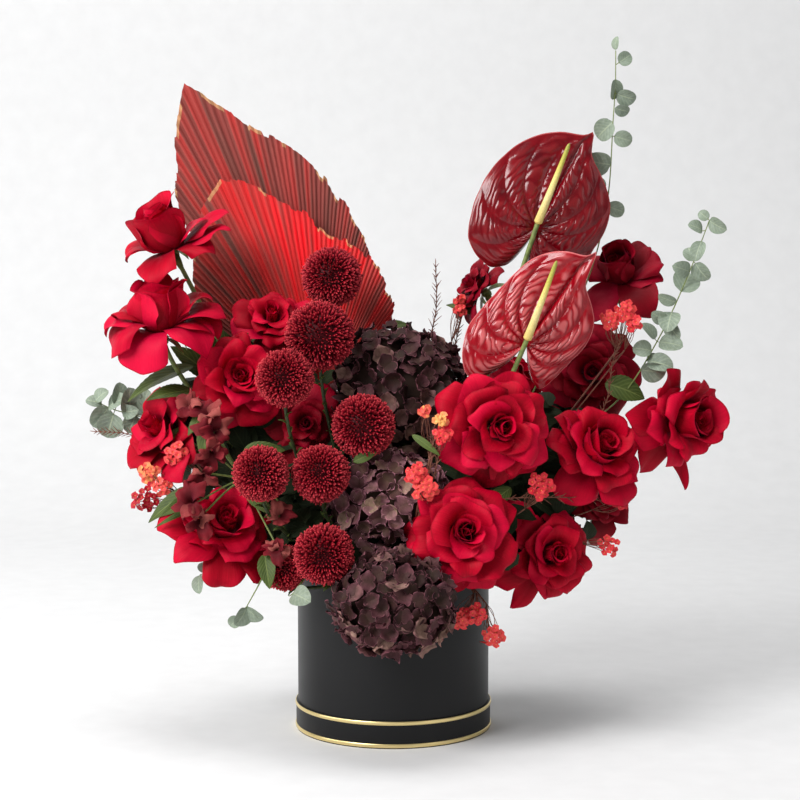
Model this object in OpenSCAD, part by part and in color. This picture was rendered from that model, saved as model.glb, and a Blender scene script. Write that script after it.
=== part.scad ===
// Flower box: a round black hat box that stands in its own lid, filled with cut flowers.
// The flowers stand in a block of floral foam inside a plastic liner, and the liner lifts out.
// Units are millimetres. Z is up, the front faces -Y, and the lid's underside lies at z = 0.

/* [Box] */
// outer diameter of the rolled card box
box_d = 200; // [160:2:260]
// height of the box wall
box_h = 165; // [120:5:220]
// thickness of the card wall
wall = 2; // [1:0.5:4]
// thickness of the card floor
floor_t = 2; // [1:0.5:4]

/* [Lid under the box] */
// height of the lid's band
lid_h = 28; // [20:1:45]
// thickness of the lid's card
lid_t = 1.6; // [1:0.2:3]
// clearance between the box and the lid, all round
lid_gap = 0.4; // [0.3:0.1:1]
// width of each gold trim on the lid's band
trim_w = 4; // [3:0.5:8]
// how far each gold trim stands out from the band
trim_t = 1; // [0.4:0.1:2]

/* [Liner and foam] */
// clearance between the plastic liner and the box wall
liner_gap = 3; // [1:0.5:6]
// wall thickness of the plastic liner
liner_t = 1.2; // [0.8:0.2:2]
// height of the plastic liner
liner_h = 150; // [100:5:160]
// height of the foam above the top of the liner
foam_up = 30; // [10:5:40]

/* [Flowers] */
// diameter of a rose stem
rose_stem_d = 5; // [3:0.5:8]
// diameter of a pompon stem
mum_stem_d = 4; // [2:0.5:6]
// how far each stem is pushed into the foam
stem_in = 25; // [15:5:60]
// thickness of an anthurium's spathe
spathe_t = 2; // [1:0.5:4]
// number of folds across a dried palm leaf
palm_folds = 26; // [10:2:40]
// thickness of a palm leaf's blade
palm_t = 1.4; // [1:0.2:3]
// diameter of the largest eucalyptus leaf
leaf_d = 24; // [12:1:32]
// size of one coral flower
coral_d = 9; // [6:1:14]

/* [Hidden] */
$fn = 48;
box_r = box_d / 2;
lid_r = box_r + lid_gap + lid_t;
rest_z = lid_t;
rim_z = rest_z + box_h;
liner_r = box_r - wall - liner_gap;
liner_z = rest_z + floor_t;
foam_r = liner_r - liner_t;
foam_z = liner_z + liner_t;
foam_top = liner_z + liner_h + foam_up;
collar_z = foam_top - 10;

card = [0.06, 0.06, 0.07];
gold = [0.80, 0.66, 0.36];
clear = [0.75, 0.80, 0.80];
foam_green = [0.16, 0.33, 0.18];
crimson = [0.72, 0.02, 0.10];
wine = [0.38, 0.04, 0.08];
plum = [0.22, 0.13, 0.16];
mauve = [0.45, 0.28, 0.34];
scarlet = [0.62, 0.03, 0.06];
cream = [0.90, 0.82, 0.45];
brick = [0.62, 0.16, 0.13];
silver_green = [0.50, 0.60, 0.52];
leaf_green = [0.22, 0.32, 0.16];
coral = [0.90, 0.35, 0.30];
twig_brown = [0.45, 0.28, 0.20];

// Each rose: centre of the head, radius, lean from upright, heading of the lean,
// and the place where its stem leaves the foam.
rose_1_at = [[-235, -20, 517], 42, 35, 195, [-70, 20]];
rose_2_at = [[-235, -50, 438], 50, 35, 260, [-72, -5]];
rose_3_at = [[-126, 5, 430], 28, 50, 300, [-56, 38]];
rose_4_at = [[-155, -52, 370], 42, 75, 260, [-64, -26]];
rose_5_at = [[-240, -35, 317], 40, 70, 190, [-75, -15]];
rose_6_at = [[-168, -80, 226], 46, 50, 285, [-60, -40]];
rose_7_at = [[-89, -38, 322], 31, 80, 270, [-40, 0]];
rose_8_at = [[105, -110, 325], 54, 80, 280, [40, -50]];
rose_9_at = [[210, -50, 300], 48, 60, 300, [70, -25]];
rose_10_at = [[70, -135, 225], 52, 75, 275, [30, -65]];
rose_11_at = [[162, -60, 192], 46, 80, 290, [60, -45]];
rose_12_at = [[306, -20, 324], 48, 95, 325, [78, 0]];
rose_13_at = [[238, 50, 478], 38, 70, 265, [60, 30]];
rose_14_at = [[208, 20, 370], 42, 80, 270, [62, 14]];
rose_15_at = [[85, 60, 460], 26, 60, 200, [25, 40]];
rose_16_at = [[222, 15, 240], 30, 70, 300, [75, 20]];
back_roses_at = [
    [[-120, 110, 330], 45, 60, 130, [-45, 50]],
    [[10, 130, 270], 45, 65, 90, [5, 65]],
    [[130, 115, 350], 45, 60, 50, [45, 50]]
];

// Each pompon: centre, radius, and the place where its stem leaves the foam.
mum_1_at = [[-63, -20, 471], 32, [-28, 20]];
mum_2_at = [[-74, -65, 414], 36, [-25, -15]];
mum_3_at = [[-107, -113, 375], 30, [-50, -16]];
mum_4_at = [[-30, -95, 326], 33, [-12, -40]];
mum_5_at = [[-130, -130, 283], 29, [-45, -55]];
mum_6_at = [[-72, -115, 281], 30, [-28, -50]];
mum_7_at = [[-68, -142, 205], 31, [-34, -74]];
mum_8_at = [[-108, -98, 184], 24, [-58, -68]];

// Each hydrangea: centre, half sizes, the point its stem aims at, and where the stem leaves.
hydrangea_1_at = [[14, -10, 355], [58, 46, 58], [14, -5, 330], [5, 0]];
hydrangea_2_at = [[-8, -72, 246], [60, 40, 48], [-8, -60, 240], [2, -36]];
hydrangea_3_at = [[0, -152, 156], [52, 40, 44], [0, -130, 188], [0, -70]];
hydrangea_4_at = [[-110, 90, 235], [55, 45, 45], [-100, 85, 230], [-50, 60]];
hydrangea_5_at = [[120, 90, 240], [55, 45, 45], [110, 85, 235], [50, 60]];

// Lengths along a rose head's own axis and across it, as shares of its radius.
rose_profile = [
    [0, -0.50], [0.16, -0.50], [0.50, -0.36], [0.88, -0.12], [1.00, 0.04], [0.94, 0.12],
    [0.70, 0.06], [0.64, 0.28], [0.48, 0.42], [0.42, 0.30], [0.30, 0.52], [0.12, 0.56], [0, 0.46]
];

// ---- shared shapes ----

// A round rod from p to q.
module rod(p, q, d) {
    v = q - p;
    translate(p)
        rotate([0, acos(v[2] / norm(v)), atan2(v[1], v[0])])
            cylinder(h = norm(v), d = d);
}

// A stem from inside the foam, out through the foam's collar at c, to the point h.
module stem(h, c, d) {
    p = [c[0], c[1], collar_z];
    u = (h - p) / norm(h - p);
    rod(p - stem_in * u, h, d);
}

// Puts its child at a rose's place, leaning and turned as the rose does.
module facing(at) {
    translate(at[0])
        rotate([0, at[2], at[3]])
            children();
}

module rose_head(at) {
    facing(at)
        rotate_extrude()
            polygon([for (p = rose_profile) p * at[1]]);
}

module dome(at) {
    translate(at[0])
        scale(at[1] / at[1][0])
            sphere(r = at[1][0]);
}

// ---- lid used as the base ----

module lid_panel() {
    color(card)
        cylinder(h = lid_t, r = lid_r - lid_t);
}

module lid_band() {
    color(card)
        difference() {
            cylinder(h = lid_h, r = lid_r);
            translate([0, 0, -1])
                cylinder(h = lid_h + 2, r = lid_r - lid_t);
        }
}

// A beaded ring round the band, with bevelled edges.
module trim_ring(z) {
    bevel = trim_w / 4;
    translate([0, 0, z])
        rotate_extrude()
            polygon([
                [lid_r, 0], [lid_r + trim_t / 2, bevel / 3], [lid_r + trim_t, bevel],
                [lid_r + trim_t, trim_w - bevel], [lid_r + trim_t / 2, trim_w - bevel / 3],
                [lid_r, trim_w]
            ]);
}

module lid_trim_upper() {
    color(gold)
        trim_ring(lid_h - trim_w);
}

module lid_trim_lower() {
    color(gold)
        trim_ring(1);
}

// ---- box ----

module box_wall() {
    color(card)
        translate([0, 0, rest_z])
            difference() {
                cylinder(h = box_h, r = box_r);
                translate([0, 0, -1])
                    cylinder(h = box_h + 2, r = box_r - wall);
            }
}

module box_floor() {
    color(card)
        translate([0, 0, rest_z])
            cylinder(h = floor_t, r = box_r - wall);
}

// ---- liner and foam ----

module liner() {
    color(clear)
        translate([0, 0, liner_z])
            difference() {
                cylinder(h = liner_h, r = liner_r);
                translate([0, 0, liner_t])
                    cylinder(h = liner_h, r = foam_r);
            }
}

module foam() {
    color(foam_green)
        translate([0, 0, foam_z]) {
            cylinder(h = foam_top - foam_z - 12, r = foam_r);
            translate([0, 0, foam_top - foam_z - 12])
                cylinder(h = 12, r1 = foam_r, r2 = foam_r - 12);
        }
}

// ---- roses ----

module rose_1() { color(crimson) rose_head(rose_1_at); }
module rose_2() { color(crimson) rose_head(rose_2_at); }
module rose_3() { color(crimson) rose_head(rose_3_at); }
module rose_4() { color(crimson) rose_head(rose_4_at); }
module rose_5() { color(crimson) rose_head(rose_5_at); }
module rose_6() { color(crimson) rose_head(rose_6_at); }
module rose_7() { color(crimson) rose_head(rose_7_at); }
module rose_8() { color(crimson) rose_head(rose_8_at); }
module rose_9() { color(crimson) rose_head(rose_9_at); }
module rose_10() { color(crimson) rose_head(rose_10_at); }
module rose_11() { color(crimson) rose_head(rose_11_at); }
module rose_12() { color(crimson) rose_head(rose_12_at); }
module rose_13() { color(crimson) rose_head(rose_13_at); }
module rose_14() { color(crimson) rose_head(rose_14_at); }
module rose_15() { color(crimson) rose_head(rose_15_at); }
module rose_16() { color(crimson) rose_head(rose_16_at); }

module roses_back() {
    color(crimson)
        for (at = back_roses_at)
            rose_head(at);
}

// ---- pompon chrysanthemums ----

module mum_head(at) {
    translate(at[0])
        sphere(r = at[1]);
}

module mum_1() { color(wine) mum_head(mum_1_at); }
module mum_2() { color(wine) mum_head(mum_2_at); }
module mum_3() { color(wine) mum_head(mum_3_at); }
module mum_4() { color(wine) mum_head(mum_4_at); }
module mum_5() { color(wine) mum_head(mum_5_at); }
module mum_6() { color(wine) mum_head(mum_6_at); }
module mum_7() { color(wine) mum_head(mum_7_at); }
module mum_8() { color(wine) mum_head(mum_8_at); }

// ---- hydrangeas ----

module hydrangea_1() { color(plum) dome(hydrangea_1_at); }
module hydrangea_2() { color(mauve) dome(hydrangea_2_at); }

// This head hangs over the rim, in front of the box wall.
module hydrangea_3() { color(plum) dome(hydrangea_3_at); }

module hydrangea_4() { color(mauve) dome(hydrangea_4_at); }
module hydrangea_5() { color(plum) dome(hydrangea_5_at); }

// ---- anthuriums ----

// Half outline of a heart leaf: angle from the tip, and radius as a share of the tip's.
heart_half = [
    [0, 1.00], [8, 0.91], [18, 0.85], [35, 0.80], [55, 0.75], [75, 0.70], [95, 0.675],
    [115, 0.68], [135, 0.66], [150, 0.60], [162, 0.48], [172, 0.28]
];
heart_ends = len(heart_half) - 1;

function heart(tip) = concat(
    [for (i = [0 : heart_ends])
        tip * heart_half[i][1] * [sin(heart_half[i][0]), cos(heart_half[i][0])]],
    [for (i = [0 : heart_ends - 1])
        tip * heart_half[heart_ends - i][1]
            * [-sin(heart_half[heart_ends - i][0]), cos(heart_half[heart_ends - i][0])]]
);

// Each anthurium: notch of the spathe, lean back, turn of the tip, length to the tip,
// the spadix as a vector, and the place where the stem leaves the foam.
anthurium_1_at = [[148, 0, 521], 10, -30, 106, [30, -20, 80], [35, 20]];
anthurium_2_at = [[134, -55, 405], 10, -36, 106, [27, -24, 79], [40, -10]];

module spathe(at) {
    translate(at[0])
        rotate([90 - at[1], 0, 0])
            rotate([0, 0, at[2]])
                linear_extrude(height = spathe_t)
                    polygon(heart(at[3]));
}

function spadix_foot(at) = at[0] + [0, -9, 4];

module spadix(at) {
    v = at[4];
    translate(spadix_foot(at))
        rotate([0, acos(v[2] / norm(v)), atan2(v[1], v[0])]) {
            cylinder(h = norm(v), d1 = 9, d2 = 5);
            translate([0, 0, norm(v)])
                sphere(d = 5);
        }
}

module spathe_1() { color(scarlet) spathe(anthurium_1_at); }
module spathe_2() { color(scarlet) spathe(anthurium_2_at); }
module spadix_1() { color(cream) spadix(anthurium_1_at); }
module spadix_2() { color(cream) spadix(anthurium_2_at); }

// ---- dried palm leaves ----

// Each palm: the point where its folds meet, the outline as angle from upright and
// radius, and the place where its stalk leaves the foam.
palm_1_at = [[-77, 66, 412], [-18, 66]];
palm_1_edge = [
    [-56, 150], [-51, 193], [-41, 231], [-33, 275], [-29, 298], [-25, 263], [-18, 224],
    [-7, 188], [7, 143], [34, 95]
];
palm_2_at = [[-87, 42, 398], [-40, 34]];
palm_2_edge = [
    [-75, 105], [-56, 150], [-40, 180], [-28, 198], [-14, 158], [10, 117], [35, 112],
    [60, 98], [74, 90]
];

// The blade is a zigzag fan of constant thickness, one fold per step.
module palm(at, edge) {
    a0 = edge[0][0];
    a1 = edge[len(edge) - 1][0];
    step = (a1 - a0) / palm_folds;
    fold = 0.35 * step * PI / 180;
    points = [
        for (i = [0 : palm_folds])
            for (back = [0, 1])
                for (r = [14, lookup(a0 + i * step, edge)])
                    [
                        r * sin(a0 + i * step),
                        (i % 2 == 0 ? 1 : -1) * r * fold / 2 + (back - 0.5) * palm_t,
                        r * cos(a0 + i * step)
                    ]
    ];
    // corners of fold i: 0 front foot, 1 front edge, 2 back foot, 3 back edge
    faces = concat(
        [for (i = [0 : palm_folds - 1]) let (p = 4 * i, q = p + 4) each [
            [p, p + 1, q + 1], [p, q + 1, q],
            [p + 2, q + 3, p + 3], [p + 2, q + 2, q + 3],
            [q + 1, p + 1, p + 3], [q + 1, p + 3, q + 3],
            [p, q, q + 2], [p, q + 2, p + 2]
        ]],
        [[1, 0, 2], [1, 2, 3]],
        let (e = 4 * palm_folds) [[e, e + 1, e + 3], [e, e + 3, e + 2]]
    );
    translate(at[0])
        polyhedron(points, faces);
}

module palm_1() { color(brick) palm(palm_1_at, palm_1_edge); }
module palm_2() { color(brick) palm(palm_2_at, palm_2_edge); }

// ---- eucalyptus ----

// A sprig along p to q with opposite pairs of round leaves that shrink to the tip.
module sprig(p, q, pairs, d) {
    v = q - p;
    rod(p, q, 1.8);
    translate(p)
        rotate([0, acos(v[2] / norm(v)), atan2(v[1], v[0])])
            for (i = [1 : pairs])
                translate([0, 0, norm(v) * i / pairs])
                    for (side = [0, 180])
                        let (size = d * (1 - 0.55 * i / pairs))
                            rotate([0, 0, side + 80 * i])
                                rotate([0, 55, 0])
                                    translate([size / 2, 0, 0])
                                        cylinder(h = 1.2, d = size, center = true);
}

module eucalyptus_top() {
    color(silver_green) {
        sprig([226, 30, 545], [231, 26, 706], 5, leaf_d);
        stem([226, 30, 545], [50, 45], 2.4);
    }
}

module eucalyptus_right() {
    color(silver_green) {
        sprig([262, -5, 390], [326, -10, 530], 6, leaf_d);
        stem([262, -5, 390], [78, 10], 2.4);
    }
}

module eucalyptus_left() {
    color(silver_green) {
        sprig([-268, 25, 336], [-318, 20, 348], 3, leaf_d);
        sprig([-264, 25, 336], [-306, 30, 306], 2, leaf_d);
        stem([-270, 25, 336], [-78, 12], 2.4);
    }
}

module eucalyptus_low() {
    color(silver_green) {
        stem([-150, -70, 178], [-76, -58], 2.4);
        sprig([-148, -70, 178], [-204, -72, 168], 2, leaf_d);
        rod([-146, -68, 178], [-137, -122, 170], 2.2);
        sprig([-138, -116, 172], [-146, -125, 130], 3, leaf_d * 0.8);
    }
}

// ---- small flowers, twigs and leaves ----

// A loose head of small coral flowers at p, on a thin branch from the point q of
// its stem, which leaves the foam at c.
module coral_head(p, q, c) {
    rod(q, p, 1.4);
    stem(q, c, 1.6);
    for (i = [0 : 4])
        translate(p + 0.75 * coral_d * [cos(72 * i), 0, sin(72 * i)])
            rotate([90, 0, 0])
                cylinder(h = coral_d / 2, d = coral_d, center = true);
}

module coral_left() {
    color(coral) {
        coral_head([-215, -62, 295], [-190, -52, 278], [-72, -22]);
        coral_head([-250, -62, 260], [-215, -56, 250], [-78, -32]);
    }
}

module coral_centre() {
    color(coral) {
        coral_head([40, -125, 332], [36, -112, 300], [18, -50]);
        coral_head([30, -134, 276], [26, -122, 262], [12, -62]);
        coral_head([148, -92, 262], [132, -78, 240], [58, -34]);
    }
}

module coral_right() {
    color(coral) {
        coral_head([238, -30, 424], [232, -12, 350], [72, -8]);
        coral_head([228, -42, 242], [205, -30, 232], [76, -14]);
        coral_head([84, -120, 133], [96, -108, 178], [62, -70]);
    }
}

// Twigs of fine grey and reddish heath: tip, fork and the place where each leaves the foam.
module twigs() {
    color(twig_brown)
        for (t = [
            [[45, 45, 485], [38, 40, 400], [14, 18]],
            [[64, 56, 430], [52, 48, 380], [30, 28]],
            [[228, -22, 402], [200, -18, 330], [64, -14]],
            [[-302, 5, 352], [-230, 10, 290], [-76, 4]]
        ]) {
            rod(t[1], t[0], 1.8);
            stem(t[1], t[2], 2);
        }
}

// A flat pointed leaf, its foot at p, its tip turned to the given heading and slope.
module blade(p, heading, slope, len, w) {
    bow = (len * len / w + w) / 4;
    translate(p)
        rotate([0, -slope, heading])
            translate([len / 2, 0, -0.5])
                linear_extrude(height = 1)
                    intersection() {
                        translate([0, bow - w / 2])
                            circle(r = bow);
                        translate([0, w / 2 - bow])
                            circle(r = bow);
                    }
}

// A leaf that grows from a rose's stem, at the given share of its length above the foam.
module stem_leaf(at, share, heading, slope, len, w) {
    p = [at[4][0], at[4][1], collar_z];
    blade(p + share * (at[0] - p), heading, slope, len, w);
}

module leaves() {
    color(leaf_green) {
        stem_leaf(rose_2_at, 0.75, 200, -20, 62, 28);
        stem_leaf(rose_2_at, 0.62, 222, -25, 52, 24);
        stem_leaf(rose_5_at, 0.70, 205, -35, 60, 24);
        stem_leaf(rose_5_at, 0.60, 214, -40, 44, 16);
        stem_leaf(rose_4_at, 0.60, 180, 0, 52, 22);
        stem_leaf(rose_9_at, 0.60, 335, -12, 60, 24);
        stem_leaf(rose_12_at, 0.55, 330, 20, 50, 24);
        stem_leaf(back_roses_at[0], 0.78, 150, -35, 60, 28);
        stem_leaf(back_roses_at[2], 0.76, 30, -35, 60, 28);
        stem_leaf(back_roses_at[1], 0.35, 60, -10, 55, 26);
    }
}

// Small wine-red funnel flowers in one umbel between the roses on the left: foot,
// radius of the mouth, lean and heading.
florets_at = [
    [[-186, -88, 336], 16, 70, 250],
    [[-180, -100, 292], 15, 70, 280],
    [[-198, -122, 250], 16, 70, 240]
];
umbel = [-174, -84, 304];

module florets() {
    color(wine) {
        stem(umbel, [-66, -38], 2);
        for (at = florets_at) {
            rod(umbel, at[0], 1.6);
            facing(at)
                cylinder(h = 22, r1 = 3, r2 = at[1]);
        }
    }
}

// ---- stems ----

module rose_stem(at) {
    stem(at[0], at[4], rose_stem_d);
}

module rose_stems() {
    color(leaf_green) {
        rose_stem(rose_1_at);
        rose_stem(rose_2_at);
        rose_stem(rose_3_at);
        rose_stem(rose_4_at);
        rose_stem(rose_5_at);
        rose_stem(rose_6_at);
        rose_stem(rose_7_at);
        rose_stem(rose_8_at);
        rose_stem(rose_9_at);
        rose_stem(rose_10_at);
        rose_stem(rose_11_at);
        rose_stem(rose_12_at);
        rose_stem(rose_13_at);
        rose_stem(rose_14_at);
        rose_stem(rose_15_at);
        rose_stem(rose_16_at);
        for (at = back_roses_at)
            rose_stem(at);
    }
}

module mum_stem(at) {
    stem(at[0], at[2], mum_stem_d);
}

module mum_stems() {
    color(leaf_green) {
        mum_stem(mum_1_at);
        mum_stem(mum_2_at);
        mum_stem(mum_3_at);
        mum_stem(mum_4_at);
        mum_stem(mum_5_at);
        mum_stem(mum_6_at);
        mum_stem(mum_7_at);
        mum_stem(mum_8_at);
    }
}

module hydrangea_stem(at) {
    stem(at[2], at[3], rose_stem_d);
}

module hydrangea_stems() {
    color(leaf_green) {
        hydrangea_stem(hydrangea_1_at);
        hydrangea_stem(hydrangea_2_at);
        hydrangea_stem(hydrangea_3_at);
        hydrangea_stem(hydrangea_4_at);
        hydrangea_stem(hydrangea_5_at);
    }
}

module anthurium_stems() {
    color(leaf_green) {
        stem(spadix_foot(anthurium_1_at), anthurium_1_at[5], rose_stem_d);
        stem(spadix_foot(anthurium_2_at), anthurium_2_at[5], rose_stem_d);
    }
}

module palm_stems() {
    color(brick) {
        stem(palm_1_at[0] + [-9, 0, 17], palm_1_at[1], rose_stem_d);
        stem(palm_2_at[0] + [-9, 0, 17], palm_2_at[1], rose_stem_d);
    }
}

// ---- the whole part, one line per node ----

lid_panel();
lid_band();
lid_trim_upper();
lid_trim_lower();
box_wall();
box_floor();
liner();
foam();
rose_1();
rose_2();
rose_3();
rose_4();
rose_5();
rose_6();
rose_7();
rose_8();
rose_9();
rose_10();
rose_11();
rose_12();
rose_13();
rose_14();
rose_15();
rose_16();
roses_back();
mum_1();
mum_2();
mum_3();
mum_4();
mum_5();
mum_6();
mum_7();
mum_8();
hydrangea_1();
hydrangea_2();
hydrangea_3();
hydrangea_4();
hydrangea_5();
spathe_1();
spathe_2();
spadix_1();
spadix_2();
palm_1();
palm_2();
eucalyptus_top();
eucalyptus_right();
eucalyptus_left();
eucalyptus_low();
coral_left();
coral_centre();
coral_right();
twigs();
leaves();
florets();
rose_stems();
mum_stems();
hydrangea_stems();
anthurium_stems();
palm_stems();
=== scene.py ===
"""Flower box: a black hat box standing in its gold-trimmed lid, filled with red cut flowers.

Lengths are in millimetres until a piece is made, which turns them into metres.
"""

import math

import bpy
import numpy as np
from mathutils import Euler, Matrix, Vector


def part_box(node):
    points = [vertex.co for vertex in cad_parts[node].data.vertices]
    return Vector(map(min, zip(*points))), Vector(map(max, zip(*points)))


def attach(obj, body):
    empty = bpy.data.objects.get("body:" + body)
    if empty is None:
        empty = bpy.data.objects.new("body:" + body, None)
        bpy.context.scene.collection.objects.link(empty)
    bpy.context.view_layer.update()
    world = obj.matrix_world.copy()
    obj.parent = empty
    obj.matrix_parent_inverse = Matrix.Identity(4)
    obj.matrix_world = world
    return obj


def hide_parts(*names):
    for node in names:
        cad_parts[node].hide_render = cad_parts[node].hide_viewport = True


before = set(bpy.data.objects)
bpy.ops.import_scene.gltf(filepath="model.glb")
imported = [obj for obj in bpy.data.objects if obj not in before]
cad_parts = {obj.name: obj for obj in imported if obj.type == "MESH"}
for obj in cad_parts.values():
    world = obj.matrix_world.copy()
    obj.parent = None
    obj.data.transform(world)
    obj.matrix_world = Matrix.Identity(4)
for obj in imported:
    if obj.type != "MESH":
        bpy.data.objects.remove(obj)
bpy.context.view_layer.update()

GOLDEN = math.radians(137.508)
COLLAR_Z = 173.6
BODY = "arrangement"
UP = np.array([0.0, 0.0, 1.0])


def rng(seed):
    return np.random.default_rng(seed)


def unit(v):
    """Vectors made one long."""
    v = np.asarray(v, float)
    return v / np.maximum(np.linalg.norm(v, axis=-1, keepdims=True), 1e-9)


def smooth(lo, hi, x):
    """A soft step from 0 at lo to 1 at hi."""
    t = np.clip((x - lo) / (hi - lo), 0, 1)
    return t * t * (3 - 2 * t)


def about(axis, degrees):
    """Turn about the x, y or z axis, numbered 0, 1 or 2."""
    a = math.radians(degrees)
    i, j = (axis + 1) % 3, (axis + 2) % 3
    turn = np.eye(3)
    turn[i, i] = turn[j, j] = math.cos(a)
    turn[j, i], turn[i, j] = math.sin(a), -math.sin(a)
    return turn


def spin(p, degrees):
    """Points turned about +Z."""
    return p @ about(2, degrees).T


def facing(tilt, heading):
    """Turn that takes +Z to an axis tilted from upright towards a heading, in degrees."""
    return about(2, heading) @ about(1, tilt)


def aim(z_axis, x_hint):
    """Turn whose z column is z_axis and whose x column lies as near x_hint as it can."""
    z = unit(z_axis)
    x = unit(np.asarray(x_hint, float) - z * np.dot(x_hint, z))
    return np.stack([x, np.cross(z, x), z], 1)


def steps(rows, cols):
    """A column from 0 to 1 along a leaf and a row from -1 to 1 across it."""
    return np.linspace(0, 1, rows)[:, None], np.linspace(-1, 1, cols)[None, :]


def around(count):
    """Evenly spaced angles of a full turn, in a row."""
    return np.linspace(0, 2 * math.pi, count, endpoint=False)[None, :]


def ball():
    """A sphere of radius 1 as a grid of points."""
    a, b = around(24), np.linspace(0, math.pi, 13)[:, None]
    return np.stack([np.sin(b) * np.cos(a), np.sin(b) * np.sin(a), np.cos(b) + 0 * a], -1)


def spread(k, count, span=1.9):
    """Direction k of a count spread evenly from +Z down; a span of 2 reaches -Z."""
    z = 1 - span * (k + 0.5) / count
    ring = math.sqrt(max(1 - z * z, 0))
    return np.array([ring * math.cos(k * GOLDEN), ring * math.sin(k * GOLDEN), z])


class Build:
    """Points, quads and three values per point (across, along, tone) for one piece."""

    def __init__(self):
        self.points, self.quads, self.values = [], [], []
        self.count = 0

    def grid(self, p, across=0.5, along=0.5, tone=0.5, flip=False, wrap=False):
        """Adds a grid of points as quads; wrap joins its last column to its first."""
        rows, cols = p.shape[:2]
        index = np.arange(rows * cols).reshape(rows, cols) + self.count
        if wrap:
            index = np.concatenate([index, index[:, :1]], 1)
        corners = [index[:-1, :-1], index[1:, :-1], index[1:, 1:], index[:-1, 1:]]
        quads = np.stack(corners[::-1] if flip else corners, -1)
        self.quads.append(quads.reshape(-1, 4))
        self.points.append(p.reshape(-1, 3))
        values = [np.broadcast_to(v, (rows, cols)).reshape(-1) for v in (across, along, tone)]
        self.values.append(np.stack(values, 1))
        self.count += rows * cols

    def sheet(self, p, thick, tone=0.5, across=None, along=None):
        """A closed leaf around a grid of points, thick in the middle and sharp at its edge."""
        if across is None:
            across = np.linspace(0, 1, p.shape[1])[None, :]
        if along is None:
            along = np.linspace(0, 1, p.shape[0])[:, None]
        du, dv = np.gradient(p, axis=0), np.gradient(p, axis=1)
        normal = unit(np.cross(du, dv))
        inside = np.zeros(p.shape[:2])
        inside[1:-1, 1:-1] = 1
        step = normal * (thick / 2 * inside)[..., None]
        self.grid(p + step, across, along, tone)
        self.grid(p - step, across, along, tone, flip=True)

    def tube(self, path, radii, sides=8, tone=0.5):
        """A closed round rod along a path of points."""
        path = np.asarray(path, float)
        radii = np.broadcast_to(np.asarray(radii, float), (len(path),))
        ahead = unit(np.gradient(path, axis=0))
        side = unit(np.cross(ahead, [0.31, 0.87, 0.38]))
        over = np.cross(ahead, side)
        a = around(sides)
        ring = side[:, None] * np.cos(a)[..., None] + over[:, None] * np.sin(a)[..., None]
        p = path[:, None] + ring * radii[:, None, None]
        ends = [np.repeat(path[i][None, None], sides, 1) for i in (0, -1)]
        p = np.concatenate([ends[0], p, ends[1]])
        along = np.linspace(0, 1, len(p))[:, None]
        self.grid(p, a / (2 * math.pi), along, tone, flip=True, wrap=True)

    def made(self, name, material):
        """The Blender object, in metres."""
        mesh = bpy.data.meshes.new(name)
        points = np.concatenate(self.points) * 0.001
        quads = np.concatenate(self.quads)
        mesh.vertices.add(len(points))
        mesh.vertices.foreach_set("co", points.astype(np.float32).ravel())
        mesh.loops.add(quads.size)
        mesh.loops.foreach_set("vertex_index", quads.astype(np.int32).ravel())
        mesh.polygons.add(len(quads))
        mesh.polygons.foreach_set("loop_start", np.arange(0, quads.size, 4, dtype=np.int32))
        mesh.update(calc_edges=True)
        values = np.concatenate(self.values).astype(np.float32)
        for k, label in enumerate(("across", "along", "tone")):
            layer = mesh.attributes.new(label, "FLOAT", "POINT")
            layer.data.foreach_set("value", np.ascontiguousarray(values[:, k]))
        mesh.validate()
        mesh.polygons.foreach_set("use_smooth", np.ones(len(mesh.polygons), bool))
        mesh.materials.append(material)
        obj = bpy.data.objects.new(name, mesh)
        bpy.context.scene.collection.objects.link(obj)
        return obj

    def piece(self, name, material, nodes=(), slot=None, body=BODY):
        """Makes a piece that rides on a body and stands in for CAD nodes."""
        obj = self.made(name, material)
        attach(obj, body)
        if nodes:
            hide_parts(*nodes)


def bezier(p0, p1, p2, p3, n):
    """A line of n points from p0 to p3 that leaves towards p1 and arrives from p2."""
    t = np.linspace(0, 1, n)[:, None]
    p0, p1, p2, p3 = (np.asarray(p, float) for p in (p0, p1, p2, p3))
    near, far = (1 - t) ** 3 * p0 + 3 * t * (1 - t) ** 2 * p1, 3 * t * t * (1 - t) * p2 + t**3 * p3
    return near + far


def through(points, n):
    """A smooth line of n points through the given ones."""
    points = np.asarray(points, float)
    gaps = np.linalg.norm(np.diff(points, axis=0), axis=1)
    at = np.concatenate([[0], np.cumsum(gaps)])
    fine = np.linspace(0, at[-1], n)
    slope = np.gradient(points, at, axis=0)
    k = np.clip(np.searchsorted(at, fine, side="right") - 1, 0, len(at) - 2)
    h = (at[k + 1] - at[k])[:, None]
    t = (fine - at[k])[:, None] / h
    a = (2 * t**3 - 3 * t**2 + 1) * points[k] + (t**3 - 2 * t**2 + t) * h * slope[k]
    return a + (3 * t**2 - 2 * t**3) * points[k + 1] + (t**3 - t**2) * h * slope[k + 1]


def line_of(angles, foot, length, n):
    """Points (out, up) of a curve from foot along the given slopes, and its normals."""
    t = np.linspace(0, 1, n)
    slope = np.radians(np.interp(t, np.linspace(0, 1, len(angles)), angles))
    step = np.stack([np.cos(slope), np.sin(slope)], 1) * (length / (n - 1))
    line = np.array(foot) + np.concatenate([[[0, 0]], np.cumsum((step[1:] + step[:-1]) / 2, 0)])
    return line, np.stack([-np.sin(slope), np.cos(slope)], 1)


# Points along the middle line of a petal.
LINE_STEPS = 60


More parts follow.
